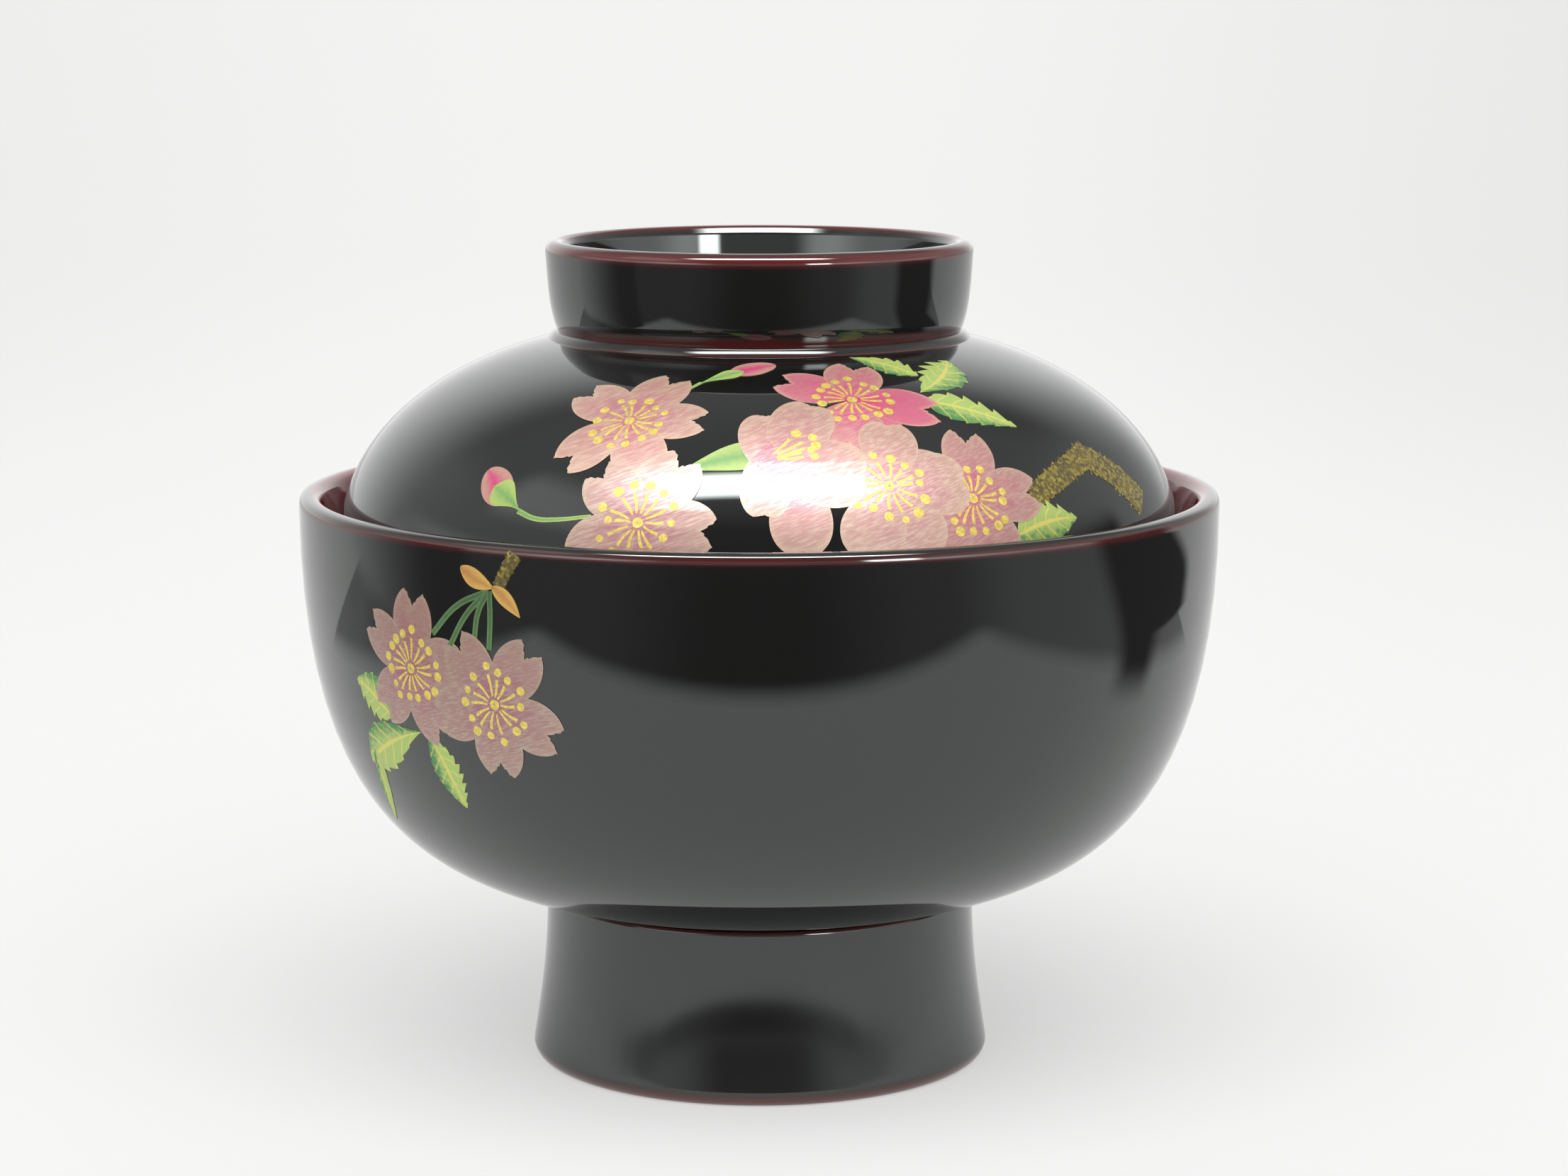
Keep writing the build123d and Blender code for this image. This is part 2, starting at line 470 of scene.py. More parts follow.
def lid_inside(sizes):
    """Underside of the lid, from the middle of its ceiling out to the bottom of its lip."""
    lip = (sizes.lid_radius - LID_LIP, sizes.lid_base + LID_LIP)
    outline = Outline((0, sizes.lid_top - LID_THICKNESS))
    outline.curve(0, CEILING_PULL, (lip[0] - LID_LIP, lip[1]), 3 * pi / 2, INNER_SKIRT_PULL)
    outline.arc(lip, LID_LIP, pi, pi / 2)
    return outline


def ring_outside(sizes):
    """The ring handle, from its ledge on the dome over its lip to the middle of its recess."""
    base = Vector((NECK_RADIUS, sizes.lid_top))
    bevel_top = base + Vector((-LEDGE_BEVEL_WIDTH, LEDGE_BEVEL_RISE))
    crease = base + Vector((-LEDGE_WIDTH, LEDGE_RISE))
    lip = Vector((sizes.ring_radius - RING_LIP, sizes.ring_top - RING_LIP))
    wall_end = lip + along(-RING_LEAN, RING_LIP)
    inner_heading = 3 * pi / 2 - RING_INNER_LEAN
    floor = sizes.lid_top + RING_FLOOR_THICKNESS
    outline = Outline(base)
    outline.curve(
        pi / 2 + LEDGE_BEVEL_START, LEDGE_BEVEL_PULL, bevel_top, pi / 2 + LEDGE_BEVEL_END, LEDGE_BEVEL_PULL
    )
    outline.line(crease)
    outline.curve(pi / 2 - RING_BASE_LEAN, RING_BASE_PULL, wall_end, pi / 2 - RING_LEAN, RING_WALL_PULL)
    outline.arc(lip, RING_LIP, -RING_LEAN, RING_LEAN + RING_CROWN)
    outline.line(lip + along(RING_BEVEL, RING_LIP))
    outline.arc(lip, RING_LIP, RING_BEVEL, pi - RING_INNER_LEAN - RING_BEVEL)
    outline.curve(inner_heading, RING_INNER_PULL, (RING_FLOOR_RADIUS, floor), pi, RING_CORNER_PULL)
    outline.line((0, floor))
    return outline


def new_tree(name, inputs):
    """A Geometry Nodes tree with named inputs. Gives the wire of its first input."""
    tree = bpy.data.node_groups.new(name, "GeometryNodeTree")
    for input_name, kind in inputs.items():
        tree.interface.new_socket(name=input_name, in_out="INPUT", socket_type="NodeSocket" + kind)
    tree.interface.new_socket(name="Geometry", in_out="OUTPUT", socket_type="NodeSocketGeometry")
    return Wire(tree).node("NodeGroupInput")


def end_tree(geometry):
    """Link the geometry to the tree's output, and give the tree."""
    geometry.node("NodeGroupOutput", {}, {"Geometry": geometry})
    return geometry.tree


def tree_of(name, make):
    """A tree by its name, made the first time it is asked for."""
    return bpy.data.node_groups.get(name) or make(name)


def grow(obj, tree, values):
    """Put a tree on an object, and set the tree's inputs by their names."""
    modifier = obj.modifiers.new(tree.name, "NODES")
    modifier.node_group = tree
    for item in tree.interface.items_tree:
        if item.item_type == "SOCKET" and item.in_out == "INPUT" and item.name in values:
            modifier[item.identifier] = values[item.name]


def shape_of(given, name):
    """The geometry of an object that a tree is given under a name."""
    info = given.node(
        "GeometryNodeObjectInfo", {"transform_space": "RELATIVE"}, {"Object": given.out(name)}
    )
    return info.out("Geometry")


def smooth(given, geometry):
    """Geometry with smooth faces."""
    return given.node("GeometryNodeSetShadeSmooth", {}, {"Geometry": geometry})


def finish_off(given, geometry, finish):
    """Real geometry in place of copies, with the material that the tree is given under a name."""
    real = given.node("GeometryNodeRealizeInstances", {}, {"Geometry": geometry})
    return given.node("GeometryNodeSetMaterial", {}, {"Geometry": real, "Material": given.out(finish)})


def turning_tree(name):
    """An outline swept once round the axis, closed at the poles, with its faces outwards."""
    given = new_tree(name, {"Outline": "Object", "Facets": "Int", "Finish": "Material"})
    circle = given.node(
        "GeometryNodeCurvePrimitiveCircle",
        {},
        {"Resolution": given.out("Facets"), "Radius": AXIS_RADIUS},
    )
    turned = given.node(
        "GeometryNodeCurveToMesh", {}, {"Curve": circle, "Profile Curve": shape_of(given, "Outline")}
    )
    closed = given.node(
        "GeometryNodeMergeByDistance", {}, {"Geometry": turned, "Distance": 5 * AXIS_RADIUS}
    )
    outward = given.node("GeometryNodeFlipFaces", {}, {"Mesh": closed})
    return end_tree(finish_off(given, smooth(given, outward), "Finish"))


def link(obj):
    """Bring an object into the scene."""
    bpy.context.scene.collection.objects.link(obj)
    bpy.context.view_layer.update()
    return obj


def harden(obj, film, even=False):
    """Turn an object's modifiers into a plain mesh at the origin.

    A film gives its faces that thickness, inwards. Sharp edges are marked.
    """
    if film:
        wall = obj.modifiers.new("film", "SOLIDIFY")
        wall.thickness = film
        wall.offset = -1
        wall.use_even_offset = even
    bpy.context.view_layer.update()
    graph = bpy.context.evaluated_depsgraph_get()
    mesh = bpy.data.meshes.new_from_object(obj.evaluated_get(graph), depsgraph=graph)
    mesh.transform(obj.matrix_world)
    mesh.name = obj.name
    obj.modifiers.clear()
    obj.data = mesh
    obj.matrix_world = Matrix.Identity(4)
    mesh.set_sharp_from_angle(angle=SHARP_ANGLE)
    return obj


def turn(name, outline, finish, film=0.0):
    """A turned piece from an outline, as a solid or as a skin of lacquer."""
    facets = bpy.context.scene.bowl_sizes.facets
    drawing = link(outline.make_object(name + "_outline"))
    piece = link(bpy.data.objects.new(name, bpy.data.meshes.new(name)))
    tree = tree_of("turned_piece", turning_tree)
    grow(piece, tree, {"Outline": drawing, "Facets": facets, "Finish": finish})
    harden(piece, film, even=True)
    bpy.data.objects.remove(drawing)
    return piece


def attach(piece, body):
    """Make a piece ride on a body."""
    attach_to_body(piece, body)
    return piece


# Lacquers and wood

RIPPLE_DEPTH = 0.4 * MM
TOOL_RIDGE = 0.35 * MM
FIBRE_DEPTH = 0.1 * MM

# An edge where the red undercoat shows, and how far and how strongly it does
Edge = namedtuple("Edge", "radius height reach strength")


def new_material(name):
    """An empty material. Gives a wire to start its nodes from."""
    material = bpy.data.materials.new(name)
    material.use_nodes = True
    material.node_tree.nodes.clear()
    return material, Wire(material.node_tree)


def end_surface(shader):
    """Link a shader to the output of its material."""
    shader.node("ShaderNodeOutputMaterial", {}, {"Surface": shader})


def end_material(bench, inputs):
    """One principled shader with the given inputs, linked to the output."""
    end_surface(bench.node("ShaderNodeBsdfPrincipled", {}, inputs))


def object_place(bench):
    """Object coordinates."""
    return bench.node("ShaderNodeTexCoord").out("Object")


def mix(bench, factor, first, second):
    """A colour between two others, each a wire or plain numbers."""
    first, second = (item if isinstance(item, Wire) else solid(item) for item in (first, second))
    return bench.node("ShaderNodeMix", {"data_type": "RGBA"}, {"Factor": factor, "A": first, "B": second})


def bump(bench, height, strength, depth):
    """A normal that follows a height."""
    return bench.node("ShaderNodeBump", {}, {"Height": height, "Strength": strength, "Distance": depth})


def ripple(bench, place):
    """The faint waves of brushed lacquer."""
    return bump(bench, noise(bench, place, 60.0, 1.0), 0.03, RIPPLE_DEPTH)


def dark_lacquer(name, edges, roughness=0.035):
    """Near-black lacquer over red, which shows through where the coat thins at an edge."""
    colours = bpy.context.scene.bowl_colours
    material, bench = new_material(name)
    place = object_place(bench)
    x, y, height = parts_of(bench, place)
    radius = span(x, y)
    red = None
    for edge in edges:
        apart = span(radius - edge.radius, height - edge.height)
        near = (1 - apart.step(0.0, edge.reach)) * edge.strength
        red = red.math("MAXIMUM", near) if red else near
    thinning = noise(bench, place, 110.0) * 0.7 + 0.62
    handling = noise(bench, place, 45.0, 4.0, 0.6)
    end_material(
        bench,
        {
            "Base Color": mix(bench, red * thinning, colours.dark, colours.edge),
            "Roughness": handling.step(0.45, 0.8) * 0.035 + roughness,
            "IOR": 1.75,
            "Specular Tint": (0.92, 1.0, 0.96, 1),
            "Normal": ripple(bench, place),
        },
    )
    return material


def red_lacquer(name):
    """Red inner lacquer, a little uneven in tone."""
    inner = bpy.context.scene.bowl_colours.inner
    material, bench = new_material(name)
    place = object_place(bench)
    tone = noise(bench, place, 70.0, 3.0)
    end_material(
        bench,
        {
            "Base Color": mix(bench, tone.step(0.3, 0.7), shaded(inner, 0.85), inner),
            "Roughness": tone * 0.04 + 0.05,
            "IOR": 1.6,
            "Normal": ripple(bench, place),
        },
    )
    return material


def turned_wood(name):
    """Close-grained turned wood: growth rings across the blank, fibres and fine tool rings."""
    wood = bpy.context.scene.bowl_colours.wood
    material, bench = new_material(name)
    place = object_place(bench)
    x, y, _ = parts_of(bench, place)
    stretched = bench.node("ShaderNodeMapping", {}, {"Vector": place, "Scale": (60.0, 900.0, 900.0)})
    fibre = noise(bench, stretched, 1.0, 3.0)
    rings = bench.node(
        "ShaderNodeTexWave",
        {"wave_type": "RINGS", "rings_direction": "X"},
        {"Vector": place, "Scale": 120.0, "Distortion": 2.5, "Detail": 2.0},
    )
    tool_marks = (span(x, y) * (pi / TOOL_RIDGE)).math("SINE")
    end_material(
        bench,
        {
            "Base Color": mix(bench, rings * 0.55 + fibre * 0.35, wood, shaded(wood, 0.6)),
            "Roughness": fibre * 0.2 + 0.55,
            "Normal": bump(bench, fibre + tool_marks * 0.2, 0.2, FIBRE_DEPTH),
        },
    )
    return material


# Painted flowers

DROP_HEIGHT = 20 * MM
DROP_REACH = 1.0
PETAL_GRID = (61, 13)
PETAL_HALF_FAN = radians(50)
PETAL_LOBE = 0.19
PETAL_ROOT = 0.01
THREAD_GRID = (2, 7)
BLADE_GRID = (15, 81)
STRAND_GRID = (5, 81)
PATH_STEPS = 16


def lay_tree(name):
    """Lay flat paint on lacquer: each point drops on to it, and its height becomes its rise from it."""
    given = new_tree(name, {"Paint": "Geometry", "Surface": "Object"})
    x, y, rise = parts_of(given, given.node("GeometryNodeInputPosition"))
    ray = given.node(
        "GeometryNodeRaycast",
        {},
        {
            "Target Geometry": shape_of(given, "Surface"),
            "Source Position": vector(given, x, y, DROP_HEIGHT),
            "Ray Direction": (0, 0, -1),
            "Ray Length": DROP_REACH,
        },
    )
    lift = vector_math(given, "SCALE", {0: ray.out("Hit Normal"), "Scale": rise})
    landed = vector_math(given, "ADD", {0: ray.out("Hit Position"), 1: lift})
    laid = given.node(
        "GeometryNodeSetPosition",
        {},
        {"Geometry": given, "Selection": ray.out("Is Hit"), "Position": landed},
    )
    return end_tree(laid)


def lay(given, paint):
    """Lay a tree's paint on its surface, with smooth faces."""
    tree = tree_of("lay_on_lacquer", lay_tree)
    laid = given.node(
        "GeometryNodeGroup", {"node_tree": tree}, {"Paint": paint, "Surface": given.out("Surface")}
    )
    return smooth(given, laid)


def store(given, geometry, name, value, domain="POINT"):
    """Keep a number on the geometry under a name."""
    return given.node(
        "GeometryNodeStoreNamedAttribute",
        {"data_type": "FLOAT", "domain": domain},
        {"Geometry": geometry, "Name": name, "Value": value},
    )


def named(given, name):
    """A number kept on the geometry under a name."""
    return given.node("GeometryNodeInputNamedAttribute", {"data_type": "FLOAT"}, {"Name": name})


def chance(given, low, high, seed, index):
    """A random number for each index, the same on each run."""
    return given.node(
        "FunctionNodeRandomValue",
        {"data_type": "FLOAT"},
        {"Min": low, "Max": high, "ID": index, "Seed": seed},
    )


def paint_grid(given, size):
    """A grid of paint. Gives it with each point's place across it, -1 to 1, and along it, 0 to 1."""
    columns, rows = size
    grid = given.node(
        "GeometryNodeMeshGrid",
        {},
        {"Size X": 2.0, "Size Y": 1.0, "Vertices X": columns, "Vertices Y": rows},
    )
    across, y, _ = parts_of(given, given.node("GeometryNodeInputPosition"))
    up = y + 0.5
    marked = store(given, store(given, grid, "across", across), "along", up)
    return marked, across, up


def move(given, geometry, place):
    """Geometry with each point moved to a place."""
    return given.node("GeometryNodeSetPosition", {}, {"Geometry": geometry, "Position": place})


def raise_paint(given, paint, rise):
    """Set flat paint to a rise from the surface that it will be laid on."""
    x, y, _ = parts_of(given, given.node("GeometryNodeInputPosition"))
    return move(given, paint, vector(given, x, y, rise))


def join(given, *pieces):
    """Several geometries as one."""
    joined = given.node("GeometryNodeJoinGeometry")
    for piece in pieces:
        given.tree.links.new(piece.socket, joined.socket.node.inputs[0])
    return joined


def scatter(given, points, instance, spin, size):
    """Copies of a flat shape on points, each turned and scaled."""
    return given.node(
        "GeometryNodeInstanceOnPoints",
        {},
        {"Points": points, "Instance": instance, "Rotation": vector(given, 0.0, 0.0, spin), "Scale": size},
    )


def points_in_middle(given, number):
    """A number of points that all lie in the middle of a blossom."""
    return given.node("GeometryNodeMeshLine", {"mode": "OFFSET"}, {"Count": number, "Offset": (0, 0, 0)})


def one_petal(given):
    """A petal, as a fan from the blossom's middle, with a frayed notch between two pointed lobes."""
    grid, across, up = paint_grid(given, PETAL_GRID)
    side = abs(across)
    past_lobe = ((side - PETAL_LOBE) / (1 - PETAL_LOBE)).math("MAXIMUM", 0.0)
    body = (1 - past_lobe ** (2.1 - given.out("Notch") * 4.2)) ** 0.6
    notch = 1 - (1 - side / PETAL_LOBE).math("MAXIMUM", 0.0) * given.out("Notch")
    teeth = (across * 24.0 + 0.3).math("PINGPONG", 1.0) - 0.5
    fray = teeth * given.out("Fray") * (1 - side.step(0.7 * PETAL_LOBE, 1.5 * PETAL_LOBE)) + 1
    frayed = 1 - up.step(0.5, 1.0) * (1 - fray)
    reach = given.out("Petal") * body * notch * frayed * (up * (1 - PETAL_ROOT) + PETAL_ROOT)
    heading = across * PETAL_HALF_FAN
    place = vector(given, reach * heading.math("SINE"), reach * heading.math("COSINE"), 0.0)
    return move(given, grid, place)


def petal_ring(given, seed, index):
    """A petal on each given point, a little uneven, and each on its own layer of paint."""
    spin = named(given, "spin") + chance(given, -0.06, 0.06, seed, index)
    size = named(given, "reach") * chance(given, 0.95, 1.05, seed + 1, index)
    wide = size * named(given, "wide") * chance(given, 0.94, 1.06, seed + 6, index)
    ring = scatter(given, given, one_petal(given), 0.0 - spin, vector(given, wide, size, 1.0))
    ring = store(given, ring, "petal", index, "INSTANCE")
    ring = store(given, ring, "tone", chance(given, 0.0, 1.0, seed + 2, index), "INSTANCE")
    petals = finish_off(given, ring, "Petal paint")
    petals = store(given, petals, "rose", given.out("Rose"))
    # Painted light: each blossom's light level, a brightness in place of the light that falls on it
    petals = store(given, petals, "light", given.out("Light"))
    return raise_paint(given, petals, given.out("Rise") + named(given, "petal") * given.out("Layer"))


def stamen_fan(given, seed, index):
    """Threads that stop short of the middle and of their dots, and a dot in the middle."""
    number = given.out("Stamens")
    thread, across, up = paint_grid(given, THREAD_GRID)
    half = given.out("Filament") * (up * 0.45 + 0.55) * 0.5
    curl = (up * pi).math("SINE") * given.out("Filament") * 0.25
    thread = move(given, thread, vector(given, across * half + curl, up * 0.54 + 0.24, 0.0))
    roots = points_in_middle(given, number)
    even = (index + 0.5) / number - 0.5
    heading = given.out("Fan heading") + even * given.out("Fan spread")
    heading = heading + chance(given, -0.09, 0.09, seed + 3, index)
    reach = given.out("Petal") * given.out("Stamen reach") * chance(given, 0.37, 0.52, seed + 4, index)
    threads = scatter(given, roots, thread, 0.0 - heading, vector(given, 1.0, reach, 1.0))
    dot = given.node(
        "GeometryNodeMeshCircle",
        {"fill_type": "TRIANGLE_FAN"},
        {"Vertices": 14, "Radius": given.out("Anther")},
    )
    ends = vector(given, heading.math("SINE") * reach, heading.math("COSINE") * reach, 0.0)
    dot_size = chance(given, 0.75, 1.1, seed + 5, index)
    dots = scatter(given, move(given, roots, ends), dot, 0.0, vector(given, dot_size, dot_size, 1.0))
    heart = scatter(given, points_in_middle(given, given.out("Hearts")), dot, 0.0, (1.1, 1.1, 1.0))
    stamens = finish_off(given, join(given, threads, dots, heart), "Stamen paint")
    return raise_paint(given, stamens, given.out("Rise") + given.out("Layer") * 5.0)


def blossom_tree(name):
    """A blossom: a petal for each point it is given, and stamens spread in a fan."""
    given = new_tree(
        name,
        {
            "Points": "Geometry",
            "Surface": "Object",
            "Petal": "Float",
            "Notch": "Float",
            "Fray": "Float",
            "Stamens": "Int",
            "Hearts": "Int",
            "Stamen reach": "Float",
            "Filament": "Float",
            "Anther": "Float",
            "Fan heading": "Float",
            "Fan spread": "Float",
            "Rise": "Float",
            "Layer": "Float",
            "Rose": "Float",
            "Light": "Float",
            "Seed": "Int",
            "Petal paint": "Material",
            "Stamen paint": "Material",
        },
    )
    seed = given.out("Seed")
    index = given.node("GeometryNodeInputIndex")
    petals = petal_ring(given, seed, index)
    stamens = stamen_fan(given, seed, index)
    return end_tree(lay(given, join(given, petals, stamens)))


def blade_tree(name):
    """A leaf, bud, calyx or bud scale: one blade along a bent middle line, with toothed or smooth edges."""
    given = new_tree(
        name,
        {
            "Surface": "Object",
            "Length": "Float",
            "Width": "Float",
            "Fullness": "Float",
            "Sharpness": "Float",
            "Bend": "Float",
            "Teeth": "Float",
            "Tooth depth": "Float",
            "Rise": "Float",
            "Finish": "Material",
        },
    )
    grid, across, up = paint_grid(given, BLADE_GRID)
    swell = (up ** given.out("Fullness") * pi).math("SINE").math("MAXIMUM", 0.0)
    belly = swell ** given.out("Sharpness")
    saw = (up * given.out("Teeth") + abs(across) * 0.5).math("FRACT")
    one_sided = 1 - across.step(-0.3, 0.3) * 0.6
    edge = 1 - saw * given.out("Tooth depth") * (up * 0.9 + 0.35) * one_sided
    half = given.out("Width") * 0.5 * (belly * edge + 0.015)
    bend = given.out("Bend") * (up ** 2 - up) * given.out("Length")
    place = vector(given, across * half + bend, up * given.out("Length"), given.out("Rise"))
    return end_tree(lay(given, finish_off(given, move(given, grid, place), "Finish")))


def strand_tree(name):
    """A stem or bough: a strip of paint along a path, with even or ragged edges."""
    given = new_tree(
        name,
        {
            "Surface": "Object",
            "Path": "Object",
            "Start width": "Float",
            "End width": "Float",
            "Ragged": "Float",
            "Rise": "Float",
            "Finish": "Material",
        },
    )
    grid, across, up = paint_grid(given, STRAND_GRID)
    sample = given.node(
        "GeometryNodeSampleCurve",
        {"use_all_curves": True},
        {"Curves": shape_of(given, "Path"), "Factor": up},
    )
    sideways = vector_math(given, "CROSS_PRODUCT", {0: sample.out("Tangent"), 1: (0, 0, 1)})
    sideways = vector_math(given, "NORMALIZE", {0: sideways})
    taper = given.out("Start width") * (1 - up) + given.out("End width") * up
    torn = noise(given, vector(given, across.math("SIGN") * 3.0, up * 34.0, 0.0), 1.0) - 0.5
    half = taper * 0.5 * (torn * given.out("Ragged") + 1)
    offset = vector_math(given, "SCALE", {0: sideways, "Scale": across * half})
    place = vector_math(given, "ADD", {0: sample.out("Position"), 1: offset})
    x, y, _ = parts_of(given, place)
    strip = move(given, grid, vector(given, x, y, given.out("Rise")))
    return end_tree(lay(given, finish_off(given, strip, "Finish")))


# Where the flowers are. Azimuths, spins and fans are in degrees, heights, widths and offsets in millimetres.

# A blossom's fan is the heading and spread of its stamens. Stamens and notch are shares of the full number
# and depth, and rose is its colour's strength. Light is painted light: a brightness that stands in for how
# much light falls on the blossom, lower on the bowl's wall than on the lid. A higher layer lies over a lower.
Blossom = namedtuple("Blossom", "azimuth height petals fan stamens rose light notch layer")

# A petal's spin is clockwise from the top, its reach and width are shares, and x and y move its root.
Petal = namedtuple("Petal", "spin reach wide x y", defaults=(0, 0))

# A blade runs from one place to another. A fullness over 1 puts its widest part nearer the tip.
Blade = namedtuple("Blade", "kind azimuth height to_azimuth to_height width fullness bend teeth depth layer")

# A strand runs through its points, each an azimuth and a height.
Strand = namedtuple("Strand", "kind points start_width end_width ragged layer")


def petals_at(*spins, reach=1.0, wide=1.0):
    """Petals that all start in the middle."""
    return [Petal(spin, reach, wide) for spin in spins]


ALL_ROUND = (0, 360)
SIDE_FAN = (63, 52)
SIDE_FAN_REACH = 1.45

TOP_PETALS = [
    Petal(165, 1.0, 1.0),
    Petal(198, 1.15, 1.2),
    Petal(304, 0.97, 0.98),
    Petal(99, 1.12, 1.0),
    Petal(16, 1.0, 1.12),
]
SIDE_PETALS = [
    Petal(177, 1.06, 0.85, 3.8, -1.5),
    Petal(-4, 1.07, 0.74, 0.5, -3.0),
    Petal(19, 1.28, 0.78, 1.7, -1.5),
    Petal(181, 1.12, 0.72, 0.4, 3.0),
    Petal(93, 1.38, 0.86, -1.0, -0.8),
]
FRONT_PETALS = [
    Petal(295, 1.0, 0.9),
    Petal(160, 1.0, 1.1),
    Petal(210, 1.0, 1.0),
    Petal(84, 1.02, 0.95),
    Petal(11, 1.0, 0.92),
]

# Painted light: the light levels are highest near the top of the lid and lowest on the bowl's upright wall,
# which get more and less of the overhead light
LID_BLOSSOMS = [
    Blossom(16.7, 91.1, TOP_PETALS, ALL_ROUND, 1.0, 1.1, 1.0, 1.0, 0),
    Blossom(29.7, 80.0, petals_at(17, 89, 161, 233, 305, reach=1.04), ALL_ROUND, 1.0, 0.5, 0.82, 1.0, 6),
    Blossom(-21.4, 88.8, petals_at(14, 80, 151, 223, 309, reach=1.02), ALL_ROUND, 0.9, 0.25, 0.95, 1.0, 6),
    Blossom(0.9, 84.9, SIDE_PETALS, SIDE_FAN, 0.31, 0.3, 0.86, 0.2, 18),
    Blossom(17.8, 81.9, FRONT_PETALS, ALL_ROUND, 0.9, 0.1, 0.88, 0.3, 12),
    Blossom(-15.9, 77.9, petals_at(30, 92, 170, 234, 317, wide=1.1), ALL_ROUND, 0.9, 0.1, 0.78, 0.9, 12),
]
BOWL_BLOSSOMS = [
    Blossom(-45.9, 58.7, petals_at(8, 80, 152, 224, 302), ALL_ROUND, 1.0, 0.35, 0.64, 1.0, 0),
    Blossom(-32.8, 55.7, petals_at(40, 117, 183, 251, 323), ALL_ROUND, 0.9, 0.25, 0.62, 1.0, 6),
]

LID_BLADES = [
    Blade("leaf", 23.2, 95.1, 34.4, 93.1, 5.4, 1.3, 0.2, 6, 0.45, 0),
    Blade("leaf", 31.0, 91.5, 48.0, 94.2, 6.6, 1.3, -0.3, 6, 0.55, 0),
    Blade("leaf", 30.5, 90.6, 44.3, 87.2, 6.2, 0.68, 0.12, 6, 0.5, 0),
    Blade("leaf", 35.5, 75.4, 46.5, 76.6, 6.4, 0.7, 0.2, 6, 0.45, 0),
    Blade("bud", -6.0, 93.8, 3.7, 94.6, 3.6, 0.9, 0.0, 0, 0.0, 4),
    Blade("calyx", -12.6, 92.6, -3.4, 94.0, 2.3, 2.3, 0.1, 0, 0.0, 6),
    Blade("bud", -36.0, 79.2, -41.3, 82.6, 4.4, 0.9, 0.0, 0, 0.0, 4),
    Blade("calyx", -33.0, 78.2, -38.9, 80.8, 3.8, 2.2, -0.15, 0, 0.0, 6),
    Blade("calyx", -11.5, 83.5, 4.0, 86.0, 4.2, 1.5, 0.1, 0, 0.0, 8),
]
BOWL_BLADES = [
    Blade("bract", -36.6, 72.3, -31.9, 70.1, 2.3, 0.8, -0.2, 0, 0.0, 6),
    Blade("bract", -32.1, 70.3, -28.4, 66.8, 1.9, 0.75, 0.2, 0, 0.0, 6),
    Blade("leaf", -51.5, 51.8, -58.6, 55.6, 6.4, 0.9, -0.25, 6, 0.42, 0),
    Blade("leaf", -46.0, 50.6, -60.6, 44.6, 6.6, 1.5, -0.2, 6, 0.25, 0),
    Blade("leaf", -58.2, 46.4, -63.9, 36.0, 2.4, 0.6, 0.25, 0, 0.0, 2),
    Blade("leaf", -44.4, 50.4, -41.2, 41.3, 5.2, 0.95, 0.15, 8, 0.45, 0),
]

# The shoots that carry the lid's buds are painted like their calyxes
LID_STRANDS = [
    Strand("calyx", [(-15.5, 91.4), (-13.6, 92.2), (-11.6, 92.9)], 0.35, 0.5, 0.2, 0),
    Strand("calyx", [(-33.6, 78.4), (-30.6, 77.7), (-27.2, 77.8), (-22.5, 78.4)], 0.7, 0.45, 0.3, 0),
    Strand("bough", [(39.5, 79.5), (48.5, 82.0), (55.5, 83.5)], 3.0, 3.4, 1.4, 0),
    Strand("bough", [(53.4, 83.5), (58.8, 80.8), (64.0, 76.6)], 4.4, 4.4, 1.4, 1),
]
BOWL_STRANDS = [
    Strand("stem", [(-32.6, 69.7), (-37.3, 67.5), (-41.5, 63.6)], 0.75, 0.75, 0.2, 0),
    Strand("stem", [(-32.6, 69.7), (-36.0, 66.5), (-38.9, 62.2)], 0.75, 0.75, 0.2, 1),
    Strand("stem", [(-32.6, 69.7), (-34.2, 67.0), (-35.0, 63.5)], 0.75, 0.75, 0.2, 2),
    Strand("stem", [(-32.5, 69.7), (-32.5, 67.0), (-32.9, 62.5)], 0.75, 0.75, 0.2, 3),
    Strand("bough", [(-31.3, 70.2), (-30.2, 72.2), (-28.9, 74.4)], 1.6, 1.9, 1.6, 2),
]


# Paints

POWDER_DEPTH = 0.05 * MM
BRUSH_SIZE = (2.0 * MM, 0.9 * MM, 0.18 * MM)
BRUSH_SLANT = radians(-20)


def kept(bench, name):
    """A number that the painted mesh keeps under a name."""
    return bench.node("ShaderNodeAttribute", {"attribute_name": name}).out("Fac")


